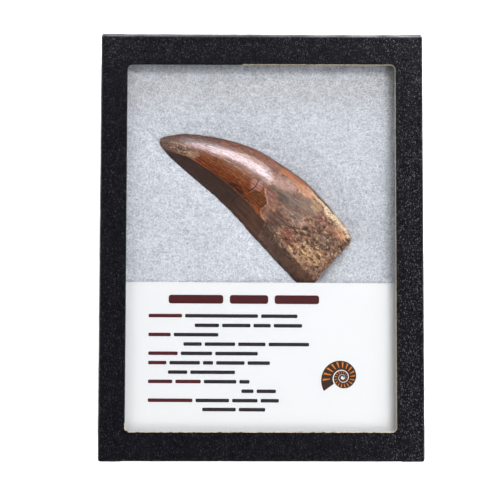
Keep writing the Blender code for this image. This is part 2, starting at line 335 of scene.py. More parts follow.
def rounded_outline(width, length, radius, centre=(0.0, 0.0)):
    """The points of a rounded rectangle, with the same number on each side whatever its size."""
    radius = max(radius, 0.05)
    points = []
    for corner, (sx, sy) in enumerate(((1, -1), (1, 1), (-1, 1), (-1, -1))):
        start = math.radians(90 * corner - 90)
        arc = start + math.radians(90) * np.linspace(0, 1, CORNER_STEPS + 1)
        x = sx * (width / 2 - radius) + radius * np.cos(arc)
        y = sy * (length / 2 - radius) + radius * np.sin(arc)
        points.append(np.stack((x, y), 1))
        tx, ty = ((1, 1), (-1, 1), (-1, -1), (1, -1))[corner]
        end = (tx * (width / 2 - radius), ty * (length / 2 - radius))
        turn = start + math.radians(90)
        end = (end[0] + radius * math.cos(turn), end[1] + radius * math.sin(turn))
        steps = SIDE_STEPS[1] if corner % 2 == 0 else SIDE_STEPS[0]
        f = np.linspace(0, 1, steps + 1)[1:-1, None]
        points.append(points[-1][-1] * (1 - f) + np.array(end) * f)
    return np.concatenate(points) + np.array(centre)


def window_outline(out):
    return rounded_outline(WINDOW_WIDTH + 2 * out, WINDOW_LENGTH + 2 * out, WINDOW_CORNER + out,
                           WINDOW_CENTRE)


def lid_outline(inset):
    return rounded_outline(LID_WIDTH - 2 * inset, LID_LENGTH - 2 * inset, LID_CORNER - inset)


def lid_profile():
    """The rings of the lid from the window's lower edge over the top and down, and back inside.

    Each entry is the ring's outline, its height, and whether it is on the raw cut of the board.
    """
    wall, edge = lid_outline(LID_WALL), window_outline(0.0)
    rings = [(edge, z, 1.0) for z in (LID_CEILING, 24.2, 24.6, 24.95)]
    for turn, raw in ((30, 0.6), (60, 0.0), (90, 0.0)):
        turn = math.radians(turn)
        rings.append((window_outline(WINDOW_ROUND - WINDOW_ROUND * math.cos(turn)),
                      LID_TOP - WINDOW_ROUND + WINDOW_ROUND * math.sin(turn), raw))
    inner, outer = window_outline(WINDOW_ROUND), lid_outline(LID_ROUND)
    for k in range(1, 26):
        f = k / 25
        rings.append((inner * (1 - f) + outer * f, LID_TOP, 0.0))
    for turn in (18, 36, 54, 72, 90):
        turn = math.radians(turn)
        rings.append((lid_outline(LID_ROUND - LID_ROUND * math.sin(turn)),
                      LID_TOP - LID_ROUND + LID_ROUND * math.cos(turn), 0.0))
    places = [(0.0, z) for z in np.linspace(LID_TOP - LID_ROUND, LID_FOOT + 0.3, 15)[1:]]
    places += [(0.12, LID_FOOT + 0.06), (0.4, LID_FOOT), (LID_WALL - 0.2, LID_FOOT)]
    places += [(LID_WALL, z) for z in (LID_FOOT + 0.2, 12.0, LID_CEILING)]
    rings += [(lid_outline(inset), z, 0.0) for inset, z in places]
    rings += [(wall * (1 - f) + edge * f, LID_CEILING, 0.0) for f in (0.4, 0.8)]
    return rings


def make_lid():
    """The papered lid: a wavy paper skin over soft-edged board, with overlaps at its corners."""
    rings = lid_profile()
    points = np.array([np.column_stack((outline, np.full(len(outline), z))) for outline, z, _ in rings])
    raw = np.array([np.full(points.shape[1], value) for _, _, value in rings])
    closed = np.concatenate((points, points[:1]))
    normal = grid_normals(closed)[:-1]
    x, y, z = points[..., 0], points[..., 1], points[..., 2]
    if np.mean(normal[20, :, 2]) < 0:
        normal = -normal
    wave = Noise(11)
    on_side = np.maximum(abs(x) / (LID_WIDTH / 2), abs(y) / (LID_LENGTH / 2)) > 0.995
    outside = np.clip(smooth_step(24.9, 25.3, z) + on_side, 0, 1) * (1 - raw)
    lift = 0.09 * wave.cloud(x / 9, y / 9, z / 9, 3) + 0.05 * wave(x / 1.7, y / 1.7, z / 1.7)
    # The paper's flaps lap round the corners onto the short walls
    short_wall = (abs(y) > LID_LENGTH / 2 - 0.6) & (z < 25.0)
    flap_edge = LID_WIDTH / 2 - 11 + 0.3 * wave(z / 3, 0.5) - (LID_TOP - z) * 0.12
    flap = short_wall * smooth_step(-0.25, 0.25, abs(x) - flap_edge)
    points = points + normal * ((lift - 0.03) * outside + 0.16 * flap)[..., None]
    faces = grid_faces(points.shape[0], points.shape[1], wrap_columns=True, wrap_rows=True)
    if np.mean(np.cross(points[10, 1:] - points[10, :-1], points[11, :-1] - points[10, :-1])[:, 2]) < 0:
        faces = [face[::-1] for face in faces]
    item = add_mesh("lid_paper", points.reshape(-1, 3), faces)
    edge_wear = np.exp(-((np.maximum(abs(x) - LID_WIDTH / 2, abs(y) - LID_LENGTH / 2) + 0.35) / 0.55) ** 2)
    edge_wear = edge_wear * smooth_step(23.6, 24.9, z)
    dusty = np.exp(-(np.hypot(x + 72, y - 97) / 12) ** 2)
    dusty = dusty + 0.25 * np.exp(-(np.hypot(x - 70, y - 96) / 10) ** 2)
    # Bare board shows at the cut where the paper doesn't reach round it
    bare = 0.25 + 0.75 * (x > 60) + 0.55 * (y < -86) + 0.55 * ((y > 86) & (x > -10))
    store(item, "wear", np.stack((raw * np.clip(bare, 0, 1), edge_wear, dusty), -1).reshape(-1, 3))
    # Painted highlights: how strongly pale glint specks are painted, more on the lid's right border and
    # along its top
    sparkle = 0.3 + 0.7 * smooth_step(40, 72, x) + 0.25 * smooth_step(88, 96, y)
    # Painted highlight: a pale line along the lid's rounded top outer edge, brighter towards the right and
    # broken by noise, and a fainter one along its side edges
    edge_highlight = smooth_step(103.25, 103.5, y) * smooth_step(104.4, 104.15, y)
    edge_highlight = edge_highlight * (0.55 + 0.45 * smooth_step(-30, 60, x))
    edge_highlight = edge_highlight + 0.35 * smooth_step(78.7, 78.9, abs(x)) * smooth_step(79.36, 79.2, abs(x))
    edge_highlight = edge_highlight * smooth_step(24.4, 24.9, z) * (0.8 + 0.4 * wave(x / 5, y / 5, 3.0))
    skin = np.stack((np.clip(sparkle, 0, 1), np.clip(edge_highlight, 0, 1), np.zeros(x.shape)), -1)
    store(item, "skin", skin.reshape(-1, 3))
    finish_piece(item, "lid", leather("lid_leather", worn=True))


def leather(name, worn):
    """Black paper embossed like leather."""
    p = Paint(name)
    swirl = p.noise(p.place, 0.25, 2)
    shift = p.node("TexNoise", {"Vector": p.place, "Scale": 0.9}).outputs["Color"]
    warped = p.shifted(p.place, shift)
    pebble = p.cells(warped, 1.25, "SMOOTH_F1")
    crease = p.ramp(p.cells(warped, 0.8, "DISTANCE_TO_EDGE"), 0.0, 0.14)
    fine = p.noise(p.place, 5.0, 3)
    height = p.plus(p.times(p.minus(1.0, pebble), 0.55), p.times(crease, 0.3))
    height = p.plus(height, p.times(fine, 0.1))
    normal = p.bump(height, 0.0005, 0.9)
    base = p.mix(p.ramp(swirl, 0.3, 0.7), (0.0014, 0.0014, 0.0034), (0.003, 0.003, 0.0058))
    base = p.mix(p.times(crease, 0.5), base, (0.0042, 0.0041, 0.0054))
    rough = p.ramp(p.plus(fine, p.times(swirl, 0.6)), 0.5, 1.1, 0.2, 0.32)
    # Besides worn edges, dust and bare board, the worn lid gets painted glint specks and a painted highlight
    # along its outer edges
    if worn:
        _, wear = p.stored("wear")
        grains = p.noise(p.place, 1.6, 5, 0.7)
        scuff = p.noise(p.scaled(p.place, (0.4, 1.3, 1.0), 0.5), 1.2, 5, 0.7)
        worn_edge = p.times(wear[1], p.ramp(grains, 0.5, 0.7))
        base = p.mix(p.times(worn_edge, 0.4), base, linear(96, 92, 92))
        dust = p.times(wear[2], p.ramp(scuff, 0.54, 0.72))
        base = p.mix(p.times(dust, 0.5), base, linear(112, 102, 92))
        _, skin = p.stored("skin")
        # Painted highlights: pale specks stand for glints on the grain, scaled by the sparkle mask
        specks = p.ramp(p.noise(p.scaled(p.place, (1.3, 0.8, 1.0), 0.2), 1.4, 5, 0.8), 0.55, 0.66)
        base = p.mix(p.times(p.times(specks, skin[0]), 0.85), base, linear(124, 123, 130))
        # Painted highlight: pale grey along the lid's rounded outer edges
        edge_highlight_mask = p.times(skin[1], p.ramp(grains, 0.3, 0.5, 0.55, 0.95))
        base = p.mix(edge_highlight_mask, base, linear(178, 180, 186))
        fray = p.noise(p.place, 0.55, 4, 0.65)
        bare = p.times(p.ramp(p.plus(wear[0], p.times(p.minus(fray, 0.5), 1.6)),
                                         0.55, 0.75), p.ramp(wear[0], 0.05, 0.2))
        pulp = p.ramp(p.noise(p.place, 3.0, 3), 0.3, 0.7)
        board = p.mix(pulp, linear(176, 160, 136), linear(214, 202, 182))
        base = p.mix(bare, base, board)
        rough = p.blend(bare, rough, 0.9)
    p.set(Base_Color=base, Roughness=rough, Normal=normal, Specular_IOR_Level=0.06)
    return p.material


def glass_material():
    """A clear pane: what it doesn't reflect goes straight through it."""
    p = Paint("pane")
    clear = p.node("BsdfTransparent", {0: (0.985, 0.992, 0.988)})
    smear = p.noise(p.scaled(p.place, (0.05, 0.12, 1.0), 0.6), 1.0, 5, 0.65, 0.8)
    ripple = p.bump(p.noise(p.place, 0.03, 1), 0.0002, 0.15)
    blur = p.ramp(smear, 0.35, 0.75, 0.01, 0.06)
    gloss = p.node("BsdfGlossy", {"Color": (1.0, 1.0, 1.0), "Roughness": blur, "Normal": ripple})
    # Facing is the same on both sides of the pane, so low light gets through it to the batting
    slant = p.node("LayerWeight", {"Blend": 0.5}).outputs["Facing"]
    mirror = p.plus(p.times(p.math("POWER", slant, 5.0), 0.96), 0.04)
    both = p.node("MixShader", {0: mirror, 1: clear.outputs[0], 2: gloss.outputs[0]})
    p.tree.nodes.remove(p.shader)
    p.put(p.tree.nodes["Material Output"].inputs["Surface"], both.outputs[0])
    return p.material


RINGS = 470
TOP_COLUMNS = 136
BELLY_COLUMNS = 40

RIDGE = (
    (-3, -1.5), (4.9, -2.4), (11.8, -0.6), (15.8, 0.9), (22.1, 1.5), (28.6, 1.6), (34.3, 1.7),
    (38.6, 1.9), (44, 0.8), (47.9, 0.5), (55.8, -0.6), (63.1, -3.0), (70.8, -6.1), (82, -9.8),
    (94, -12.0), (106, -13.5),
)
ENAMEL_EDGE = (
    (50.8, 30), (53.2, 24), (54.7, 20.9), (57.3, 16.0), (58.1, 13.5), (58.5, 11.3), (57.7, 9.3),
    (60.2, 7.2), (63.1, 4.8), (62.4, 2.2), (61.5, 0.0), (64.1, -1.9), (67.4, -3.2), (68.0, -8.0),
    (70.0, -20),
)
CRACKS = (
    (((48.6, 0.4), (47.4, -2.6), (47.4, -5.6)), 0.35, 0.3),
    (((52.4, 11.5), (52.9, 8.8), (52.7, 6.5), (51.5, 4.3)), 0.35, 0.25),
    (((53.0, 16.8), (53.2, 17.6), (53.5, 18.6)), 0.22, 0.1),
    (((30.0, 5.5), (36.0, 7.0), (43.0, 7.4)), 0.18, 0.12),
    (((64.0, 16.0), (70.0, 15.0), (76.0, 16.0), (83.0, 14.6)), 0.3, 0.25),
    (((66.0, 9.0), (73.0, 8.4), (80.0, 9.6)), 0.3, 0.25),
    (((74.0, -1.0), (82.0, -2.6), (92.0, -4.4), (104.0, -5.4)), 0.4, 0.35),
    (((78.0, 18.5), (88.0, 16.8), (97.0, 14.6), (106.0, 11.0)), 0.4, 0.35),
    (((86.0, 1.0), (94.0, 0.0), (105.0, 0.8)), 0.45, 0.4),
)
PITS = (
    (16.1, 15.6, 1.9, 1.1), (78.5, 5.5, 2.4, 0.8), (88.0, 12.0, 2.6, 0.8), (92.5, 1.5, 2.8, 0.9),
    (98.0, -9.5, 1.8, 0.8), (83.0, -6.0, 1.6, 0.5), (101.5, 9.5, 2.6, 0.9), (106.0, 17.5, 2.2, 1.0),
    (85.1, 5.0, 1.4, 0.9), (92.9, 9.0, 1.2, 0.9), (94.9, 1.8, 1.5, 1.0), (54.6, -5.7, 0.5, 0.15),
    (93.4, -1.6, 1.0, 0.7), (95.8, -6.0, 1.4, 0.8), (88.6, 3.4, 0.9, 0.6), (99.6, 4.6, 1.0, 0.7),
)

LACE = ((84, -7), (86, -2), (91, 3), (98, 3), (103, -1), (103, -8), (98, -11), (90, -9))

# Stained and worn places, with a few painted highlights and sheen: colour, form, points in mm along
# and across the tooth, half width, softness in mm, and how strongly they cover
ZONES = (
    ((116, 60, 27), "line", ((12, 4.8), (24, 6.4), (40, 7.4), (55, 9.0)), 5.5, 2.5, 0.9),
    ((112, 46, 20), "line", ((17, 2.2), (30, 3.4), (42, 4.4), (53, 3.2)), 1.6, 1.5, 0.8),
    ((62, 28, 17), "area", ((23.5, 2.0), (32.1, 2.4), (41.0, 2.5), (47.7, 3.6), (51.0, 1.9),
     (56.0, 0.4), (47.4, -0.7), (38.5, 0.3), (28.0, 0.9)), 0, 1.0, 0.9),
    ((42, 19, 12), "spot", ((45.3, 2.0),), (4.2, 1.8), 1.0, 0.9),
    # painted highlight: a pale pinkish band along the crown's gloss highlight
    ((204, 170, 184), "line", ((12, 7.4), (18, 9.2), (22.7, 10.5), (30.6, 13.3), (40, 15.4), (50, 16.5),
     (56.8, 16.3)), 1.6, 2.6, 0.56),
    ((68, 38, 34), "line", ((3, 3.0), (10, 8.8), (17, 13.0), (26, 16.6), (34, 19.6)), 2.8, 1.8, 0.9),
    ((110, 58, 42), "line", ((28, 18.4), (38, 21.4), (48, 23.2)), 2.8, 1.8, 0.85),
    ((124, 70, 52), "line", ((46, 23.0), (52, 23.4), (58, 23.7)), 2.3, 1.4, 0.9),
    ((166, 98, 58), "line", ((60, 23.8), (66, 23.8), (72, 23.4)), 1.8, 1.2, 0.9),
    ((96, 66, 53), "area", ((2.7, 2.1), (7.6, 3.9), (13.1, 5.2), (19.2, 6.3), (21.1, 4.6), (18.0, 1.2),
     (13.0, -0.5), (7.8, -1.7), (4.2, -1.8)), 0, 0.7, 0.9),
    ((150, 114, 94), "area", ((14.6, 3.4), (19.8, 6.2), (21.6, 4.6), (19.4, 1.8), (15.5, 1.3)), 0, 0.5,
     0.95),
    ((196, 166, 146), "lines", (((5.5, 2.2), (8.0, 3.6), (9.4, 2.4)), ((9.8, 3.9), (12.5, 4.8),
     (13.8, 3.4)), ((7.0, 0.2), (10.0, 1.2), (12.0, 0.5)), ((12.4, 1.4), (15.0, 2.8), (18.0, 3.0))),
     0.2, 0.45, 0.7),
    ((46, 24, 17), "pits", ((6.4, 1.3), (9.3, 3.1), (11.6, 2.3), (14.2, 1.8), (10.6, -0.2)), 0.5, 0.5,
     0.85),
    ((58, 36, 30), "line", ((-1.0, -0.4), (1.6, 0.6), (3.2, 1.4)), 2.1, 1.0, 0.9),
    ((160, 106, 92), "area", ((49.9, 8.3), (50.0, 11.2), (52.4, 11.6), (54.3, 12.2), (56.4, 9.9),
     (56.3, 7.4), (53.7, 6.6), (51.1, 6.1)), 0, 0.45, 0.95),
    ((98, 56, 30), "area", ((53.5, 3.6), (53.6, 6.1), (56.3, 7.4), (59.8, 6.8), (62.0, 4.6),
     (61.8, 1.4), (58.7, 0.5), (55.7, 1.4)), 0, 0.5, 0.95),
    ((142, 74, 34), "area", ((55.4, 0.9), (59.8, 0.9), (62.8, 1.3), (63.0, -1.7), (59.1, -1.5)), 0, 0.6,
     0.85),
    # the root's smooth part
    # pale lilac on the smooth root: partly its own colour, partly a painted sheen
    ((176, 140, 130), "area", ((57.3, 17.3), (61.7, 19.9), (67.2, 20.6), (72.3, 19.1), (69.6, 16.0),
     (63.4, 14.8), (59.3, 14.4)), 0, 5.0, 0.7),
    ((98, 80, 70), "area", ((59.5, 13.3), (63.9, 13.9), (70.3, 15.3), (75.0, 15.6), (77.0, 10.9),
     (72.4, 8.9), (66.8, 9.8)), 0, 4.5, 0.95),
    ((74, 64, 57), "area", ((61, 11.8), (66, 12.8), (71, 12.6), (72, 10.0), (67, 9.7), (62, 10.4)), 0,
     2.2, 0.6),
    ((128, 78, 64), "area", ((58.8, 9.1), (62.7, 11.6), (66.8, 9.8), (67.3, 6.5), (63.1, 4.8)), 0, 2.5,
     0.85),
    ((78, 52, 40), "area", ((67.5, 5.8), (72.8, 5.3), (76.5, 0.4), (75.5, -3.0), (80.5, -7.0),
     (76.0, -9.0), (66.0, -5.0)), 0, 3.0, 0.85),
    ((118, 96, 82), "area", ((73.0, 17.6), (77.6, 19.2), (83.4, 17.4), (85.2, 13.9), (81.0, 10.8),
     (76.4, 11.7)), 0, 4.0, 0.85),
    ((206, 148, 112), "area", ((68.6, 21.0), (74.5, 23.6), (80.5, 22.6), (78.6, 19.2), (74.2, 19.3)), 0,
     2.6, 0.7),
    ((214, 178, 146), "line", ((78.0, 22.3), (86.0, 20.9), (92.4, 19.4)), 0.7, 0.7, 0.8),
    ((176, 140, 104), "area", ((80.1, 19.2), (82.9, 20.4), (87.2, 18.8), (85.0, 15.6), (82.1, 15.8)), 0,
     2.6, 0.7),
    ((138, 88, 74), "area", ((84.1, 14.7), (88.5, 17.1), (93.3, 16.3), (93.8, 12.6), (88.6, 11.4)), 0,
     3.0, 0.8),
    # pale cream along the root's convex edge near the base: its own pale colour, painted brighter as a
    # highlight where that edge faces the light
    ((255, 208, 174), "line", ((90.0, 19.4), (97.0, 18.2), (101.3, 17.0), (104.8, 15.4)), 2.0, 2.2,
     0.95),
    ((206, 146, 108), "area", ((96.4, 14.6), (99.6, 15.4), (104.2, 14.0), (105.6, 11.2), (98.9, 10.9)),
     0, 2.0, 0.85),
    # its rough part and the strip beside it
    ((200, 172, 156), "area", ((73.6, 6.6), (77.0, 9.4), (82.4, 9.4), (85.0, 6.7), (81.6, 4.0),
     (77.2, 3.4)), 0, 3.0, 0.4),
    ((142, 80, 62), "area", ((74.8, -3.5), (76.8, 0.4), (83.6, -0.1), (90.2, -4.6), (87.2, -7.9),
     (79.1, -6.1)), 0, 1.8, 0.75),
    ((168, 122, 82), "area", ((86.9, -4.6), (90.2, -1.5), (94.3, 2.2), (99.2, 0.2), (101.0, -4.6),
     (97.9, -8.5), (93.9, -8.9)), 0, 2.6, 0.5),
    ((186, 140, 108), "line", ((80.7, -6.9), (86.6, -8.2), (94.1, -10.4)), 0.7, 0.8, 0.8),
    ((64, 40, 28), "line", ((64, -6.0), (76, -9.6), (88, -13.0), (96, -15.2), (103, -16.6)), 3.3, 2.2,
     0.68),
    ((58, 36, 26), "line", ((64, -11.6), (78, -15.2), (92, -17.8), (103, -19.6)), 0.9, 1.0, 0.8),
    ((92, 78, 72), "line", ((72, 8.5), (76, 6.5), (79, 8.5)), 1.2, 2.4, 0.7),
    ((128, 110, 92), "spot", ((95.5, 5.5),), (4.4, 2.8), 3.0, 0.6),
    ((230, 194, 148), "lines", (((85.5, -3.0), (88.0, -4.2)), ((90.3, -4.6), (92.8, -6.0)),
     ((88.6, -0.6), (90.6, -1.5)), ((93.0, -2.6), (95.8, -3.0)), ((95.4, 1.0), (97.0, 0.0)),
     ((98.5, -0.8), (101, -2.6)), ((97.0, -5.2), (99.2, -6.2)), ((83.5, -6.2), (86.5, -7.2))), 0.45,
     1.0, 0.8),
    ((58, 30, 20), "line", ((86, 0.8), (92, -0.4), (97, -1.4)), 0.5, 0.9, 0.7),
    ((70, 38, 26), "line", ((79, 1.8), (86, 2.6), (92, 3.6), (99, 3.0)), 0.5, 0.9, 0.7),
    ((64, 36, 25), "line", ((88, 6.0), (95, 8.0), (101, 7.0)), 0.5, 0.9, 0.65),
    ((38, 18, 12), "pits", ((85.3, 5.2), (92.2, 8.8), (94.9, 1.9), (93.4, -1.4), (95.6, -5.9),
     (89.0, 3.6), (100.2, 3.4), (98.4, -9.2)), 0.75, 0.6, 0.9),
    ((26, 12, 9), "cracks", tuple(line for line, _, _ in CRACKS[:3]), 0.3, 0.24, 0.95),
    ((74, 40, 28), "line", ((103.2, -17), (103.6, -7), (104.3, 0.5), (105.3, 8), (106.2, 13)), 0.8, 1.2,
     0.7),
    # thin pale lines
    ((204, 158, 130), "line", ((20.5, 7.0), (25.4, 8.5), (30.9, 10.2), (38.7, 10.6), (45.4, 10.4)),
     0.14, 0.3, 0.4),
    ((172, 98, 56), "line", ((12, -0.3), (18.0, 1.4), (27.0, 1.8), (37.4, 1.8), (44.0, 1.1),
     (55.7, 0.0), (62.7, -1.4)), 0.14, 0.35, 0.5),
    ((196, 146, 118), "edge", (), 0.2, 0.32, 0.65),
    ((190, 142, 114), "line", ((64.1, -1.9), (67.4, -3.4), (71.2, -4.9), (77, -7.0)), 0.14, 0.3, 0.75),
)


def spline(share):
    """The stations' values at each share from the tip to the base."""
    last = len(STATIONS) - 1
    place = np.clip(share, 0.0, 1.0) * last
    k = np.minimum(place.astype(int), last - 1)
    f = (place - k)[:, None]
    a = STATIONS[np.maximum(k - 1, 0)]
    b = STATIONS[k]
    c = STATIONS[k + 1]
    d = STATIONS[np.minimum(k + 2, last)]
    slope_in = (c - a) / 2
    slope_out = (d - b) / 2
    return b + f * (slope_in + f * (3 * (c - b) - 2 * slope_in - slope_out
                                    + f * (2 * (b - c) + slope_in + slope_out)))


def ridge_line(share):
    tip = 1 - smooth_step(0.1, 0.35, share)
    return -0.42 - 0.14 * tip - 0.3 * smooth_step(0.5, 0.85, share)


def dome(v, power=2.4):
    return np.maximum(1 - np.abs(v) ** power, 0.0) ** 0.55


def top_height(v, share):
    ridge = ridge_line(share)
    f = np.clip((v + 1) / (ridge + 1), 0, 1)
    facet = FACET_LIP * np.minimum(f * 12, 1.0) + (RIDGE_HEIGHT - FACET_LIP) * f
    rise = np.clip((CREST - v) / (CREST - ridge), 0, 1)
    bank = 1 - (1 - RIDGE_HEIGHT) * rise ** 1.5
    flank = (1 - FLANK_FALL * (v - CREST) ** 2) * np.sqrt(np.maximum(1 - np.abs(v) ** 10, 0))
    crown = np.where(v <= ridge, facet, np.where(v <= CREST, bank, flank))
    root = smooth_step(0.55, 0.9, share)
    return crown * (1 - root) + dome(np.clip(v, -1, 1)) * root


def tooth_skin():
    """The smooth tooth: a grid of rings, and each point's share along and place across."""
    share = np.linspace(0, 1, RINGS) ** 1.08
    values = spline(share)
    convex = values[:, (0, 1, 4)]
    concave = values[:, (2, 3, 4)]
    height = values[:, 5][:, None]
    middle = ((convex + concave) / 2)[:, None, :]
    half = ((convex - concave) / 2)[:, None, :]
    even = np.linspace(-1, 1, TOP_COLUMNS)
    v_top = 0.62 * even - 0.38 * np.cos(math.pi * (even + 1) / 2)
    v_belly = np.cos(math.pi * np.arange(1, BELLY_COLUMNS) / BELLY_COLUMNS)
    s = share[:, None]
    spread = [top_height(np.clip(v_top[None] + shift, -1, 1), s) for shift in (-0.02, -0.01, 0, 0.01, 0.02)]
    crown = np.where(np.abs(v_top)[None] > 0.9, spread[2], sum(spread) / 5) * height
    depth = BELLY_TIP + (BELLY_ROOT - BELLY_TIP) * smooth_step(0.0, 0.35, s)
    belly = -height * depth * dome(v_belly, 2.2)[None]
    v = np.concatenate((v_top, v_belly))
    lift = np.concatenate((crown, belly), 1)
    points = middle + half * v[None, :, None]
    points = points + lift[..., None] * np.array((0.0, 0.0, 1.0))
    is_top = np.concatenate((np.ones(TOP_COLUMNS), np.zeros(len(v_belly))))
    return points, np.broadcast_to(s, lift.shape), np.broadcast_to(v[None], lift.shape), \
        np.broadcast_to(is_top[None], lift.shape)


def enamel_side(t, u):
    """How far each place lies on the crown's side of the enamel's broken edge."""
    ts, us = zip(*reversed(ENAMEL_EDGE))
    edge = np.interp(u, us, ts)
    return np.where(t < edge, 1.0, -1.0) * line_distance(t, u, ENAMEL_EDGE)


def tooth_relief(points, share, v, is_top):
    """How far each point is raised (mm): streaks, cracks, the enamel's step, lumps, pits, nicks."""
    t, u, z = points[..., 0], points[..., 1], points[..., 2]
    wave = Noise(23)
    fine = Noise(24, 48)
    warp_t = t + 0.5 * wave(t / 2.5, u / 2.5, z / 3)
    warp_u = u + 0.5 * wave(t / 2.5 + 9, u / 2.5, z / 3)
    along = share * GRAIN_LENGTH
    across = v * GRAIN_WIDTH + 40 * (1 - is_top)
    enamel = enamel_side(warp_t, warp_u)
    step = 0.25 + 2.0 * smooth_step(11, 15, u)
    bare = smooth_step(-step, step, -enamel)
    ridge_u = np.interp(t, *zip(*RIDGE))
    facet = smooth_step(-0.8, 0.6, ridge_u - u) * is_top
    low = 0.05 * wave.cloud(along / 9, across / 3.2, 1.0, 3)
    low = low + 0.02 * fine(along / 5, across / 0.6)
    low = low + facet * (0.05 * fine(along / 7 + 5, across / 0.55) + 0.04 * wave(along / 14, across / 1.1))
    rib = 0.14 * np.exp(-((u - ridge_u) / 0.9) ** 2) * is_top * (1 - bare) * smooth_step(0.08, 0.2, share)
    relief = low * (1 - bare) + rib
    start = 74 + 15 * smooth_step(7, 12, u + 2 * wave(t / 5, u / 5 + 8))
    rough = smooth_step(-3, 4, t - start + 3 * wave(t / 6, u / 6))
    rough = rough * smooth_step(-13, -8, u + 2 * wave(t / 5, u / 5 + 4))
    lumps = 0.45 * wave.cloud(t / 4.5, u / 3.4, z / 4, 4, 0.65) - 0.34
    grain = 0.5 * fine.cloud(t / 2.6, u / 1.7, z / 1.9, 3, 0.6)
    pores = -0.9 * smooth_step(0.35, 0.7, fine(t / 2.3 + 20, u / 1.5, z / 1.8))
    ribs = 0.12 * wave(along / 12, across / 1.3)
    relief = relief + bare * (lumps + ribs) + bare * rough * (grain + pores)
    relief = relief + bare * (1 - rough) * (0.08 * fine(along / 3, across / 0.8) - 0.12)
    for line, half_width, depth in CRACKS:
        relief = relief - depth * is_top * np.exp(-(line_distance(warp_t, warp_u, line) / half_width) ** 2)
    for x, y, radius, depth in PITS:
        away = np.hypot(t - x, u - y) / radius
        relief = relief - depth * np.maximum(1 - away * away, 0) ** 2
    nick = np.exp(-((v + 1) / 0.07) ** 2)
    comb = 0.5 + 0.5 * np.sin(share * 118 / 1.15 * 2 * math.pi + 2 * wave(share * 30, 0.3))
    comb = comb * (0.35 + 0.65 * smooth_step(-0.4, 0.5, fine(share * 70, 5.5)))
    strength = 0.12 + 0.42 * np.exp(-((share - 0.3) / 0.12) ** 2)
    strength = strength * smooth_step(0.04, 0.1, share) * (1 - smooth_step(0.55, 0.65, share))
    relief = relief - 1.4 * nick * comb * strength
    crest_chips = smooth_step(0.2, 0.7, fine(along / 2.2, 8.8)) * np.exp(-((v - 1) / 0.06) ** 2)
    relief = relief - 0.6 * crest_chips * smooth_step(0.04, 0.1, share) * (1 - smooth_step(0.3, 0.4, share))
    chips = smooth_step(0.2, 0.6, fine(along / 1.8, 3.3)) * np.exp(-((v + 1) / 0.07) ** 2)
    chips = chips * smooth_step(0.08, 0.14, share) * (1 - 0.6 * smooth_step(0.4, 0.55, share))
    relief = relief - 0.7 * chips
    return relief, enamel, rough


def zone_fields(t, u, enamel):
    """One smooth field for each zone: 0.5 at its border, 1 well inside."""
    fields = []
    wave = Noise(33)
    reach = 0.35 + 0.75 * smooth_step(55, 66, t)
    shift_t = reach * (wave.cloud(t / 3.4, u / 2.6, 0.0, 3, 0.6) * 1.6)
    shift_u = reach * (wave.cloud(t / 3.4, u / 2.6, 7.0, 3, 0.6) * 1.2)
    straight_t, straight_u = t, u
    t, u = t + shift_t, u + shift_u
    for _, form, points, width, soft, _ in ZONES:
        if form == "line":
            depth = width - line_distance(t, u, points)
        elif form == "area":
            depth = area_distance(t, u, points)
        elif form == "spot":
            depth = spot_distance(t, u, points[0], width)
        elif form == "lines":
            depth = width - np.min([line_distance(t, u, line) for line in points], axis=0)
        elif form == "cracks":
            depth = width - np.min([line_distance(straight_t, straight_u, line) for line in points], axis=0)
        elif form == "pits":
            shift = 0.7 * wave(t / 1.3, u / 1.0)
            away = [np.hypot((t - x) / 1.5 + shift, u - y - shift) for x, y in points]
            depth = width - np.min(away, axis=0)
        else:
            depth = width - np.abs(enamel) - 2 * smooth_step(10, 13, u) - 2 * smooth_step(2.5, 4.0, -u)
        fields.append(np.clip(0.5 + depth / (2 * soft), 0, 1))
    return fields


def base_rings(rim, wave):
    """The broken base, from the rim inwards."""
    centre = rim.mean(axis=0)
    rings = []
    for share in np.linspace(0, 1, 22)[1:-1]:
        ring = rim * (1 - share) + centre * share
        x, y, z = ring.T
        rough = 1.3 * wave.cloud(x / 3.4, y / 3.4, z / 3.4, 4, 0.6) * min(share * 6, 1)
        sink = 4.0 * float(smooth_step(0.12, 1.0, share))
        sink = sink + 0.8 * smooth_step(0.3, 0.7, wave(x / 2, y / 2, z / 2))
        rings.append(ring + BASE_ALONG * (rough - sink)[:, None])
    return np.array(rings)


def turned(x, y, angle):
    cosine, sine = math.cos(angle), math.sin(angle)
    return x * cosine - y * sine, x * sine + y * cosine


def to_row_frame(points):
    x, y = turned(points[..., 0], points[..., 1], CHORD_TURN)
    return np.stack((x + TIP_PLACE[0], y + TIP_PLACE[1], points[..., 2]), -1)


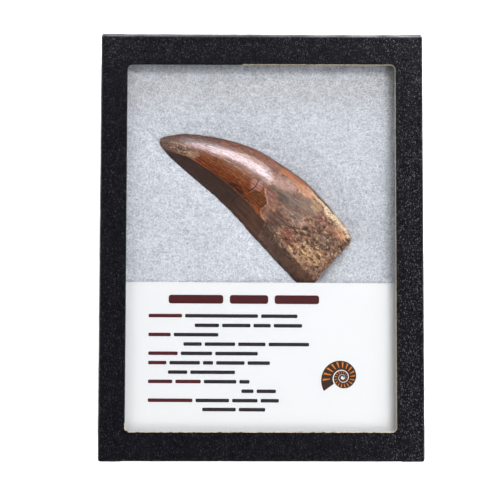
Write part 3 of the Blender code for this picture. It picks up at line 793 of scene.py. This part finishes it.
def make_tooth():
    points, share, v, is_top = tooth_skin()
    normal = grid_normals(points)
    if normal[RINGS // 2, TOP_COLUMNS // 2, 2] < 0:
        normal = -normal
    relief, enamel, rough = tooth_relief(points, share, v, is_top)
    fade = smooth_step(0.0, 0.015, share)
    points = points + normal * (relief * fade)[..., None]
    wave = Noise(31)
    end = smooth_step(0.93, 1.0, share)
    jag = 2.0 * wave.cloud(points[..., 0] / 30, points[..., 1] / 3.2, points[..., 2] / 3.2, 4, 0.6)
    points = points + (end * jag)[..., None] * BASE_ALONG
    inner = base_rings(points[-1], wave)
    every = np.concatenate((points, inner))
    columns = every.shape[1]
    flat = every.reshape(-1, 3)
    faces = grid_faces(every.shape[0], columns, wrap_columns=True)
    tip = len(flat)
    flat = np.concatenate((flat, points[:1].mean(axis=1), inner[-1:].mean(axis=1) - BASE_ALONG * 0.2))
    faces += [((j + 1) % columns, j, tip) for j in range(columns)]
    start = (every.shape[0] - 1) * columns
    faces += [(start + j, start + (j + 1) % columns, tip + 1) for j in range(columns)]
    sample = flat[list(faces[(RINGS // 2) * columns + TOP_COLUMNS // 2])]
    if np.cross(sample[1] - sample[0], sample[3] - sample[0])[2] < 0:
        faces = [face[::-1] for face in faces]
    item = add_mesh("tooth_fossil", to_row_frame(flat), faces)
    t, u = flat[:, 0], flat[:, 1]
    enamel = enamel_side(t + 0.4 * wave(t / 1.8, u / 1.8), u + 0.4 * wave(t / 1.8 + 5, u / 1.8))
    fields = zone_fields(t, u, enamel)
    while len(fields) % 3:
        fields.append(np.zeros(len(flat)))
    for k in range(0, len(fields), 3):
        store(item, "zones_%d" % (k // 3), np.stack(fields[k:k + 3], -1))
    spread = np.concatenate((share.ravel(), np.ones(len(flat) - share.size)))
    wide = np.concatenate((v.ravel(), np.zeros(len(flat) - share.size)))
    store(item, "grain", np.stack((spread * GRAIN_LENGTH, wide * GRAIN_WIDTH, np.zeros(len(flat))), -1))
    ridge_u = np.interp(t, *zip(*RIDGE))
    facet = np.clip(0.5 + (ridge_u - u) / 2.6, 0, 1)
    bare = np.clip(0.5 - enamel / (0.8 + 5 * smooth_step(11, 15, u)), 0, 1)
    broken = np.concatenate((np.zeros(share.size), np.ones(len(flat) - share.size)))
    store(item, "parts", np.stack((facet, bare, broken), -1))
    rough = np.concatenate((rough.ravel(), np.ones(len(flat) - share.size)))
    lace = np.clip(0.5 + area_distance(t, u, LACE) / 4, 0, 1)
    store(item, "worn", np.stack((rough, np.clip(t / 110, 0, 1), lace), -1))
    finish_piece(item, "tooth", tooth_material())


def tooth_material():
    p = Paint("fossil_tooth")
    grain, _ = p.stored("grain")
    _, part = p.stored("parts")
    _, worn = p.stored("worn")
    facet, bare, broken = part
    rough_root, along, lace = worn
    enamel = p.minus(1.0, bare)

    def grained(length, width, *form):
        return p.noise(p.scaled(grain, (length, width, 1.0)), *form)

    streak = grained(0.10, 1.3, 1.0, 5, 0.65, 0.3)
    hair = grained(0.16, 3.0, 1.0, 3, 0.6, 0.2)
    mottle = p.noise(p.place, 0.32, 5, 0.6, 0.4)
    small = p.noise(p.place, 1.3, 5, 0.7)
    tiny = p.noise(p.place, 4.0, 3, 0.6)
    # The crown is amber to red-brown in streaks, the root brown and stone-like
    crown = p.mix(p.ramp(mottle, 0.35, 0.65), linear(108, 58, 38), linear(142, 84, 54))
    root = p.mix(p.ramp(mottle, 0.38, 0.62), linear(80, 50, 38), linear(154, 108, 84))
    root = p.mix(p.times(p.ramp(streak, 0.5, 0.66), 0.35), root, linear(76, 52, 40))
    base = p.mix(bare, crown, root)
    spill = p.minus(small, 0.5)

    # Paints the zones: stains and wear, and also the painted highlights and sheen among them
    def paint_zones(under, first, last):
        for k in range(first, last):
            if k == first or k % 3 == 0:
                _, fields = p.stored("zones_%d" % (k // 3))
            field = p.plus(fields[k % 3], p.times(spill, 0.8))
            mask = p.ramp(field, 0.32, 0.68, 0.0, ZONES[k][5])
            shade = tuple(value * 0.62 for value in linear(*ZONES[k][0]))
            light = tuple(min(value * 1.34, 1.0) for value in linear(*ZONES[k][0]))
            under = p.mix(mask, under, p.mix(p.ramp(small if k % 2 else streak, 0.36, 0.64), shade, light))
        return under

    base = paint_zones(base, 0, len(ZONES) - 6)
    # Dark dashes and pale hairlines run along the enamel
    dashes = p.ramp(grained(0.5, 1.5, 1.0, 5, 0.7, 0.5), 0.51, 0.60)
    base = p.mix(p.times(p.times(dashes, enamel), 0.75), base, linear(58, 24, 13))
    glints = p.ramp(grained(0.45, 1.5, 1.1, 5, 0.7, 0.4), 0.53, 0.61)
    base = p.mix(p.times(p.times(glints, enamel), 0.65), base, linear(168, 102, 50))
    pale = p.times(p.ramp(hair, 0.6, 0.72), p.times(enamel, 0.3))
    base = p.mix(pale, base, linear(190, 142, 116))
    facet_tone = p.mix(p.ramp(streak, 0.35, 0.65), linear(34, 20, 16), linear(58, 36, 29))
    facet_low = p.mix(p.ramp(streak, 0.35, 0.65), linear(62, 36, 25), linear(96, 62, 44))
    facet_tone = p.mix(p.ramp(along, 0.38, 0.6), facet_tone, facet_low)
    facet_tone = p.mix(p.times(p.ramp(hair, 0.56, 0.68), 0.4), facet_tone, linear(128, 98, 84))
    facet_mask = p.ramp(p.plus(facet, p.times(spill, 0.5)), 0.35, 0.65)
    facet_mask = p.times(facet_mask, p.minus(1.0, p.times(bare, 0.6)))
    base = p.mix(p.times(facet_mask, 0.94), base, facet_tone)
    base = paint_zones(base, len(ZONES) - 6, len(ZONES))
    # Crackle at the tip
    net = p.ramp(p.cells(p.scaled(grain, (0.36, 0.8, 1.0)), 1.0, "DISTANCE_TO_EDGE"), 0.0, 0.08, 1.0, 0.0)
    net = p.times(net, p.ramp(along, 0.15, 0.21, 0.85, 0.0))
    net = p.times(net, p.times(p.ramp(small, 0.42, 0.52), p.ramp(p.parts(grain)[1], 2.0, 6.0, 1.0, 0.05)))
    net = p.times(net, p.minus(1.0, facet_mask))
    base = p.mix(net, base, linear(180, 146, 124))
    holes = p.times(p.ramp(grained(0.7, 1.2, 1.0, 4, 0.7), 0.54, 0.60),
                   p.ramp(along, 0.12, 0.17, 0.85, 0.0))
    base = p.mix(holes, base, linear(52, 28, 18))
    strands = grained(0.3, 2.1, 1.0, 4, 0.7, 0.4)
    dark = p.times(p.ramp(strands, 0.5, 0.38), p.blend(bare, 0.5, 0.36))
    base = p.mix(dark, base, p.mix(bare, linear(50, 22, 14), linear(58, 38, 28)))
    lit = p.ramp(p.parts(grain)[1], -14.0, -9.0, 0.25, 1.0)
    light = p.times(p.ramp(strands, 0.53, 0.65), p.times(bare, p.blend(rough_root, 0.22, 0.42)))
    base = p.mix(p.times(light, lit), base, linear(206, 162, 136))
    # The rough root: cream lumps between dark pores
    open_root = p.times(rough_root, bare)
    blobs = grained(0.36, 0.7, 1.0, 6, 0.72, 0.5)
    cream = p.times(p.ramp(blobs, 0.53, 0.61, 0.0, 0.72), p.times(open_root, lit))
    base = p.mix(cream, base, p.mix(p.ramp(small, 0.4, 0.6), linear(178, 132, 100), linear(226, 196, 168)))
    pores = p.times(p.ramp(blobs, 0.44, 0.36, 0.0, 0.85), open_root)
    base = p.mix(pores, base, linear(58, 28, 16))
    wavy = p.times(p.minus(blobs, 0.5), 1.6)
    walls = p.cells(p.shifted(p.scaled(grain, (0.3, 0.45, 1.0)), wavy), 1.0, "DISTANCE_TO_EDGE")
    walls = p.times(p.ramp(walls, 0.02, 0.13, 0.8, 0.0), p.ramp(mottle, 0.42, 0.56))
    base = p.mix(p.times(walls, lace), base, linear(222, 180, 138))
    chalk = p.ramp(p.noise(p.place, 1.7, 4, 0.75), 0.58, 0.65)
    chalk = p.times(chalk, p.times(bare, p.blend(rough_root, 0.2, 0.6)))
    base = p.mix(chalk, base, linear(216, 188, 168))
    specks = p.ramp(p.noise(p.place, 2.0, 4, 0.75), 0.40, 0.34)
    specks = p.times(specks, p.times(bare, p.blend(rough_root, 0.35, 0.75)))
    base = p.mix(specks, base, linear(52, 28, 20))
    base = p.mix(p.times(broken, 0.4), base, linear(128, 92, 72))
    gloss = p.blend(bare, 0.26, 0.5)
    gloss = p.blend(facet_mask, gloss, 0.42)
    gloss = p.plus(gloss, p.times(p.minus(hair, 0.5), 0.3))
    gloss = p.plus(gloss, p.times(open_root, 0.25))
    height = p.plus(p.times(hair, 0.6), p.times(tiny, 0.2))
    height = p.plus(height, p.times(net, 0.5))
    normal = p.bump(height, 0.0001, 0.8)
    rugged = p.minus(p.plus(small, blobs), pores)
    rugged = p.times(rugged, p.times(bare, p.blend(rough_root, 0.2, 1.0)))
    normal = p.bump(rugged, 0.0009, 0.8, normal)
    coat = p.times(enamel, p.minus(1.0, facet_mask))
    coat = p.times(coat, p.ramp(hair, 0.36, 0.6, 1.0, 0.45))
    coat = p.times(coat, p.ramp(along, 0.05, 0.11, 0.25, 1.0))
    coat = p.times(coat, p.ramp(p.parts(grain)[1], 9.0, 12.5, 1.0, 0.15))
    p.set(Base_Color=base, Roughness=gloss, Normal=normal, Specular_IOR_Level=0.4, Coat_Weight=coat,
          Coat_Roughness=0.19, Coat_IOR=1.8, Coat_Normal=normal)
    return p.material


def tooth_rim():
    """The tooth's outline in the row frame, convex side then concave side, with edge heights."""
    values = spline(np.linspace(0, 1, 60))
    convex = to_row_frame(values[:, (0, 1, 4)])
    concave = to_row_frame(values[:, (2, 3, 4)])
    return np.concatenate((convex, concave[::-1]))


def batting_height(x, y):
    """The pad's top: pressed flat by the glass, dimpled between, and hugging the tooth."""
    wave = Noise(41)
    outline = tuple((a, b) for a, b, _ in tooth_rim())
    inside = area_distance(x, y, outline)
    away = np.maximum(-inside, 0)
    side = np.minimum(BATTING_HALF[0] - abs(x), BATTING_HALF[1] - abs(y))
    shoulder = 2.4 * (1 - smooth_step(0.0, 4.0, side))
    bend_x = x + 3 * wave(x / 9, y / 9, 6.5)
    bend_y = y + 3 * wave(x / 9, y / 9, 9.5)
    swell = 0.5 * (0.5 + 0.5 * wave.cloud(x / 16, y / 16, 0.5, 3))
    tufts = 0.34 * wave.cloud(bend_x / 4.5, bend_y / 3.2, 2.5, 4, 0.62)
    wisps = 0.12 * wave(bend_x / 1.5, bend_y / 0.9, 4.5) + 0.1 * wave(bend_y / 1.0, bend_x / 1.9, 5.5)
    t, u = turned(x - TIP_PLACE[0], y - TIP_PLACE[1], -CHORD_TURN)
    convex = np.interp(t, STATIONS[:, 0], STATIONS[:, 1])
    concave = np.interp(t, STATIONS[:, 2], STATIONS[:, 3])
    flank = smooth_step(0.3, 0.7, (u - concave) / np.maximum(convex - concave, 1.0))
    meeting = np.interp(t, STATIONS[:, 0], STATIONS[:, 4]) + 0.3 + 0.8 * flank
    pressed = BATTING_TOP - 0.3
    far = pressed - swell
    valley = (far - meeting) * np.exp(-(away / 9) ** 1.1)
    valley = valley + 5.5 * np.clip(inside - 0.05 - 0.65 * flank, 0, 3)
    edge = -0.35 * (1 - smooth_step(0, 8, 89.6 - y))
    return pressed - shoulder - swell - valley - edge + tufts + wisps


def make_batting():
    columns = 280
    xs = np.linspace(-BATTING_HALF[0], BATTING_HALF[0], columns)
    ys = np.concatenate((np.linspace(-BATTING_HALF[1], FLUFF_FROM, 40)[:-1],
                         np.linspace(FLUFF_FROM, BATTING_HALF[1], 262)))
    x, y = np.meshgrid(xs, ys)
    z = np.clip(batting_height(x, y), 4.5, 21.1)
    top = np.stack((x, y, z), -1).reshape(-1, 3)
    rows = len(ys)
    faces = grid_faces(rows, columns)
    rim = grid_border(rows, columns)
    foot = top[rim].copy()
    foot[:, 2] = BATTING_BOTTOM
    start, count = len(top), len(rim)
    for i in range(count):
        j = (i + 1) % count
        faces.append((start + i, start + j, rim[j], rim[i]))
    faces.append(tuple(range(start + count - 1, start - 1, -1)))
    item = add_mesh("batting_pad", np.concatenate((top, foot)), faces)
    finish_piece(item, "batting", batting_material())


def batting_material():
    p = Paint("batting_fibre")
    layers = []
    for turn, scale in ((0.3, 0.75), (1.35, 0.9), (2.5, 0.65)):
        layers.append(p.noise(p.scaled(p.place, (0.22, 1.3, 0.5), turn), scale, 5, 0.65, 1.8))
    thread = p.math("MAXIMUM", p.math("MAXIMUM", layers[0], layers[1]), layers[2])
    cloud = p.noise(p.place, 0.10, 5, 0.6, 0.8)
    flock = p.noise(p.place, 0.42, 6, 0.7, 0.7)
    tone = p.mix(p.ramp(cloud, 0.36, 0.64), (0.585, 0.61, 0.665), (0.74, 0.755, 0.805))
    tone = p.mix(p.ramp(flock, 0.6, 0.4, 0.0, 0.6), tone, (0.40, 0.42, 0.475))
    grain = p.noise(p.place, 1.1, 4, 0.75)
    tone = p.mix(p.ramp(grain, 0.53, 0.41, 0.0, 0.8), tone, (0.37, 0.39, 0.445))
    tone = p.mix(p.ramp(grain, 0.54, 0.64, 0.0, 0.8), tone, (0.88, 0.885, 0.92))
    tone = p.mix(p.ramp(thread, 0.56, 0.72, 0.0, 0.7), tone, (0.82, 0.835, 0.87))
    # Painted shade with some yellowing: a warm grey band below the window's upper edge, where the lid's edge
    # shades the pad
    shade_and_yellowing = p.plus(p.parts(p.place)[1], p.times(p.minus(cloud, 0.5), 14.0))
    shade_and_yellowing = p.times(p.ramp(shade_and_yellowing, 60.0, 79.0, 0.0, 0.42), p.ramp(shade_and_yellowing, 83.0, 88.0, 1.0, 0.0))
    tone = p.mix(shade_and_yellowing, tone, (0.36, 0.345, 0.33))
    height = p.plus(p.times(thread, 0.8), p.times(flock, 0.6))
    p.set(Base_Color=tone, Roughness=p.ramp(thread, 0.4, 0.7, 0.95, 0.8), Normal=p.bump(height, 0.0011, 0.6),
          Specular_IOR_Level=0.2, Subsurface_Weight=0.8, Subsurface_Radius=(1.0, 1.0, 1.0),
          Subsurface_Scale=0.003)
    return p.material


def make_fibres():
    """Loose fibres on the pad: flat curled ribbons, joined into one mesh."""
    rng = np.random.default_rng(51)
    wave = Noise(52)
    count, steps = FIBRES, FIBRE_STEPS
    x = rng.uniform(-70, 70, count)
    y = rng.uniform(FLUFF_FROM, 95, count)
    turn = rng.uniform(0, 2 * math.pi, count)
    length = rng.uniform(5, 17, count)
    bend = rng.normal(0, 0.16, count)
    lift = rng.uniform(-0.1, 0.35, count)
    width = rng.uniform(0.035, 0.075, count)
    xs, ys, turns = [], [], []
    for k in range(steps):
        xs.append(x)
        ys.append(y)
        turns.append(turn)
        turn = turn + bend + 0.5 * wave(x / 4, y / 4, 3.3)
        bend = bend + rng.normal(0, 0.05, count)
        x = x + np.cos(turn) * length / steps
        y = y + np.sin(turn) * length / steps
    xs, ys, turns = np.array(xs), np.array(ys), np.array(turns)
    arch = np.sin(np.linspace(0, math.pi, steps))[:, None]
    base = batting_height(xs, ys)
    zs = base + 0.05 + lift[None] * arch
    good = (np.abs(xs) < 70) & (ys > -26) & (ys < 96) & (base > 15.0)
    good = good.all(axis=0)
    xs, ys, zs, turns, width = xs[:, good], ys[:, good], zs[:, good], turns[:, good], width[good]
    zs = np.minimum(zs, GLASS_BOTTOM - 0.15)
    side = np.stack((-np.sin(turns), np.cos(turns), np.zeros(turns.shape)), -1) * width[None, :, None]
    centre = np.stack((xs, ys, zs), -1)
    points = np.stack((centre - side, centre + side), 2)
    total = points.shape[1]
    points = points.transpose(1, 0, 2, 3).reshape(-1, 3)
    faces = []
    for i in range(total):
        start = i * steps * 2
        for k in range(steps - 1):
            a = start + 2 * k
            faces.append((a, a + 1, a + 3, a + 2))
    item = add_mesh("batting_fibres", points, faces)
    p = Paint("loose_fibre")
    tone = p.mix(p.ramp(p.noise(p.place, 0.8, 3), 0.35, 0.65), (0.66, 0.68, 0.72), (0.86, 0.87, 0.90))
    p.set(Base_Color=tone, Roughness=p.ramp(p.noise(p.place, 3.0, 2), 0.3, 0.7, 0.5, 0.8),
          Normal=p.bump(p.noise(p.place, 6.0, 2), 0.00003, 0.4), Specular_IOR_Level=0.3)
    finish_piece(item, None, p.material)


def card_place(x, y, z):
    """From the card's own frame (origin at its top edge's middle, y down the card) to the row's."""
    x, y = turned(x, CARD_LENGTH / 2 - y, CARD_TILT)
    return np.stack((x, y + (CARD_TOP_Y - CARD_LENGTH / 2), z), -1)


def card_height(x, y):
    """The card's top: a little lower towards its sides and at its upper edge."""
    bow = 0.16 * (x / (CARD_WIDTH / 2)) ** 2
    dip = 0.14 * np.exp(-(y / 5) ** 2) * (1 + 0.6 * np.sin(x / 23 + 0.6))
    return CARD_TOP - 0.05 - bow - dip


def make_card():
    columns, rows = 150, 84
    xs = np.linspace(-CARD_WIDTH / 2, CARD_WIDTH / 2, columns)
    ys = np.linspace(0, CARD_LENGTH, rows)
    x, y = np.meshgrid(xs, ys)
    z = card_height(x, y)
    top = card_place(x, y, z).reshape(-1, 3)
    under = card_place(x, y, z - CARD_THICKNESS).reshape(-1, 3)
    faces = [face[::-1] for face in grid_faces(rows, columns)]
    faces += grid_faces(rows, columns, start=len(top))
    rim = grid_border(rows, columns)
    for i in range(len(rim)):
        j = (i + 1) % len(rim)
        faces.append((rim[i], rim[j], rim[j] + len(top), rim[i] + len(top)))
    item = add_mesh("card_sheet", np.concatenate((top, under)), faces)
    item.data.set_sharp_from_angle(angle=math.radians(40))
    p = Paint("card_stock")
    tooth = p.noise(p.place, 3.5, 4, 0.6)
    fibre = p.noise(p.scaled(p.place, (0.6, 2.2, 1.0), 0.4), 1.2, 4, 0.6, 0.6)
    base = p.mix(p.ramp(tooth, 0.3, 0.7), (0.71, 0.71, 0.72), (0.74, 0.74, 0.75))
    base = p.mix(p.times(p.ramp(fibre, 0.6, 0.75), 0.12), base, (0.69, 0.69, 0.70))
    p.set(Base_Color=base, Roughness=p.ramp(tooth, 0.3, 0.7, 0.5, 0.62), Normal=p.bump(tooth, 0.00003, 0.5),
          Specular_IOR_Level=0.3)
    finish_piece(item, "card", p.material)


class Sheet:
    """Flat printed shapes, gathered into one mesh that lies just over the card."""

    def __init__(self):
        self.points = []
        self.faces = []

    def shape(self, outline):
        start = len(self.points)
        self.points += list(outline)
        self.faces.append(tuple(range(start, start + len(outline))))

    def bar(self, x, y, width, height):
        """A dash with round ends, from its upper left corner."""
        r = min(height, width) * 0.28
        outline = []
        for cx, cy, start in ((x + r, y + r, 180), (x + width - r, y + r, 270),
                              (x + width - r, y + height - r, 0), (x + r, y + height - r, 90)):
            for step in range(4):
                turn = math.radians(start + 30 * step)
                outline.append((cx + r * math.cos(turn), cy + r * math.sin(turn)))
        self.shape(outline)

    def build(self, name, colour_low, colour_high, lift=0.012):
        flat = np.array(self.points)
        z = card_height(flat[:, 0], flat[:, 1]) + lift
        faces = [face[::-1] for face in self.faces]
        item = add_mesh(name, card_place(flat[:, 0], flat[:, 1], z), faces, False)
        p = Paint(name + "_ink")
        press = p.noise(p.place, 4.0, 4, 0.6)
        base = p.mix(p.ramp(press, 0.35, 0.7), colour_low, colour_high)
        p.set(Base_Color=base, Roughness=p.ramp(press, 0.3, 0.7, 0.4, 0.55),
              Normal=p.bump(press, 0.00002, 0.4), Specular_IOR_Level=0.35)
        finish_piece(item, None, p.material)


# Generic dashes in place of print: left end and top in mm on the card, the title's height, then
# the dashes' lengths, first those in the lead colour and then the black ones
TITLE = (-46.0, 6.2, 4.3, (27.0, 19.0, 22.0))
ROWS = (
    (-55.8, 15.3, (16.5,), (36.0, 18.0)),
    (-33.0, 20.0, (), (12.0, 14.0, 8.5, 14.0)),
    (-55.8, 24.6, (11.0,), (22.0,)),
    (-38.5, 29.2, (), (9.0, 15.0, 13.5, 20.0)),
    (-55.8, 33.8, (14.5,), (15.5, 21.0)),
    (-55.8, 38.4, (9.0,), (15.0, 5.0, 14.0, 11.0)),
    (-46.0, 43.0, (), (9.5, 22.0)),
    (-55.8, 47.6, (12.0, 12.5), (16.0, 5.0)),
    (-9.8, 52.2, (), (6.0, 9.5)),
    (-55.8, 56.8, (22.0,), (16.5, 12.5, 9.0)),
    (-29.0, 61.2, (), (16.5, 13.0)),
)


def make_print():
    title = Sheet()
    x, y, height, words = TITLE
    for word in words:
        title.bar(x, y, word, height)
        x += word + 3.2
    lead, body = Sheet(), Sheet()
    for x, y, maroon, black in ROWS:
        for sheet, words in ((lead, maroon), (body, black)):
            for word in words:
                sheet.bar(x, y + 0.35, word, 1.75)
                x += word + 1.5
    title.build("card_title", linear(58, 10, 16), linear(78, 20, 26))
    lead.build("card_lead", linear(62, 12, 18), linear(84, 24, 30))
    body.build("card_rows", linear(26, 20, 24), linear(44, 38, 42))


def make_motif():
    """A plain coiled shell: a dark spiral whorl with orange ribs."""
    cx, cy = 40.0, 46.5
    shell = Sheet()
    ribs = Sheet()
    turns = 2.6
    for k in range(130):
        a0 = turns * 2 * math.pi * k / 130
        a1 = turns * 2 * math.pi * (k + 1.08) / 130
        quad = []
        for a, inner in ((a0, 1), (a0, 0), (a1, 0), (a1, 1)):
            outer = 1.1 * math.exp(0.142 * a)
            r = outer * (0.46 if inner else 1.0)
            quad.append((cx + r * math.cos(a) * 1.02, cy - r * math.sin(a)))
        shell.shape(quad)
    for k in range(30):
        a = 1.2 * math.pi + (turns * 2 - 1.25) * math.pi * (k / 30) ** 0.8
        outer = 1.1 * math.exp(0.142 * a)
        quad = []
        for r, off in ((0.56, -0.045), (0.90, -0.075), (0.93, 0.03), (0.58, 0.01)):
            quad.append((cx + outer * r * math.cos(a + off) * 1.02, cy - outer * r * math.sin(a + off)))
        ribs.shape(quad)
    shell.build("card_shell", linear(44, 26, 18), linear(66, 40, 26))
    ribs.build("card_ribs", linear(198, 108, 34), linear(222, 138, 52), 0.02)


def dress_cad():
    """The nodes that are shown as they are get procedural materials of their own."""
    dress(NODES["glass"], glass_material())
    dress(NODES["tray"], leather("tray_leather", worn=False))
    p = Paint("pin_metal")
    brush = p.noise(p.scaled(p.place, (6, 6, 0.6)), 2.0, 3, 0.6)
    tone = p.mix(p.ramp(brush, 0.3, 0.7), (0.26, 0.26, 0.27), (0.42, 0.42, 0.43))
    p.set(Base_Color=tone, Metallic=1.0, Roughness=p.ramp(brush, 0.3, 0.7, 0.25, 0.42),
          Normal=p.bump(brush, 0.00002, 0.4))
    for name in ("pin_left", "pin_right", "pin_top", "pin_bottom"):
        dress(NODES[name], p.material)


KEY_AZIMUTH = 57.0
LIGHT_TARGET = (0.0, 0.02, 0.02)
# Softboxes: azimuth and angle from overhead, distance and size in m, power in W, and tint
LIGHTS = (
    ("key", KEY_AZIMUTH, 39.5, 2.0, (1.6, 0.4), 31.8, (1.0, 0.965, 1.0)),
    ("fill", 318.0, 49.0, 1.5, (1.2, 0.6), 12.0, (1.0, 0.98, 0.99)),
    ("side", 150.0, 44.0, 1.5, (1.2, 0.6), 4.5, (1.0, 0.98, 0.99)),
)
WORLD_NEAR = 2.1
WORLD_FAR = 0.62
WORLD_ZENITH = 0.035
CAMERA_LENS = 44.64
CAMERA_PLACE = (-0.00689, -0.01116, 0.32817)
CAMERA_TURN = (1.715, -0.218, 0.131)


def add_light(name, azimuth, zenith, distance, size, power, tint):
    """A softbox on a dome round the case, facing it. Its first size runs level, its second up."""
    data = bpy.data.lights.new(name, "AREA")
    data.shape = "RECTANGLE"
    data.size, data.size_y = size
    data.energy = power
    data.color = tint
    item = add_object(name, data)
    a, z = math.radians(azimuth), math.radians(zenith)
    away = (math.sin(z) * math.cos(a), math.sin(z) * math.sin(a), math.cos(z))
    item.location = [start + distance * step for start, step in zip(LIGHT_TARGET, away)]
    item.rotation_euler = (z, 0.0, a + math.pi / 2)


def make_world():
    """Dark overhead, so that the glass and the lid stay dark, and bright low down on the key's side."""
    world = bpy.data.worlds.new("studio")
    bpy.context.scene.world = world
    world.use_nodes = True
    w = Nodes(world.node_tree)
    place = w.node("TexCoord", {}).outputs["Generated"]
    azimuth = math.radians(KEY_AZIMUTH + 8)
    side = w.node("VectorMath", {0: place, 1: (math.cos(azimuth), math.sin(azimuth), 0.0)},
                  operation="DOT_PRODUCT").outputs["Value"]
    low = w.ramp(w.parts(place)[2], 0.45, 0.9, 1.0, 0.0)
    lit = w.ramp(side, -0.3, 0.75, WORLD_FAR, WORLD_NEAR)
    sky = w.tree.nodes["Background"]
    w.put(sky.inputs["Color"], (0.96, 0.98, 1.0))
    w.put(sky.inputs["Strength"], w.plus(w.times(low, lit), WORLD_ZENITH))


def make_floor():
    reach = 6000
    corners = [(-reach, -reach, 0), (reach, -reach, 0), (reach, reach, 0), (-reach, reach, 0)]
    floor = add_mesh("floor", corners, [(0, 1, 2, 3)], False)
    floor.location.z = -0.0004
    p = Paint("floor_white")
    grain = p.noise(p.place, 0.05, 3)
    tone = p.mix(p.ramp(grain, 0.3, 0.7), (0.93, 0.93, 0.93), (0.95, 0.95, 0.95))
    p.set(Base_Color=tone, Roughness=p.ramp(grain, 0.3, 0.7, 0.8, 0.9), Normal=p.bump(grain, 0.0001, 0.2),
          Specular_IOR_Level=0.2, Emission_Color=(1.0, 1.0, 1.0), Emission_Strength=0.6)
    floor.data.materials.append(p.material)


def make_camera():
    data = bpy.data.cameras.new("camera")
    data.sensor_width = 36
    data.lens = CAMERA_LENS
    data.clip_start = 0.01
    camera = add_object("camera", data)
    camera.location = CAMERA_PLACE
    camera.rotation_euler = [math.radians(turn) for turn in CAMERA_TURN]
    bpy.context.scene.camera = camera


make_lid()
make_tooth()
make_batting()
make_fibres()
make_card()
make_print()
make_motif()
dress_cad()
make_world()
make_floor()
for light in LIGHTS:
    add_light(*light)
make_camera()
bpy.context.scene.view_settings.view_transform = "Standard"
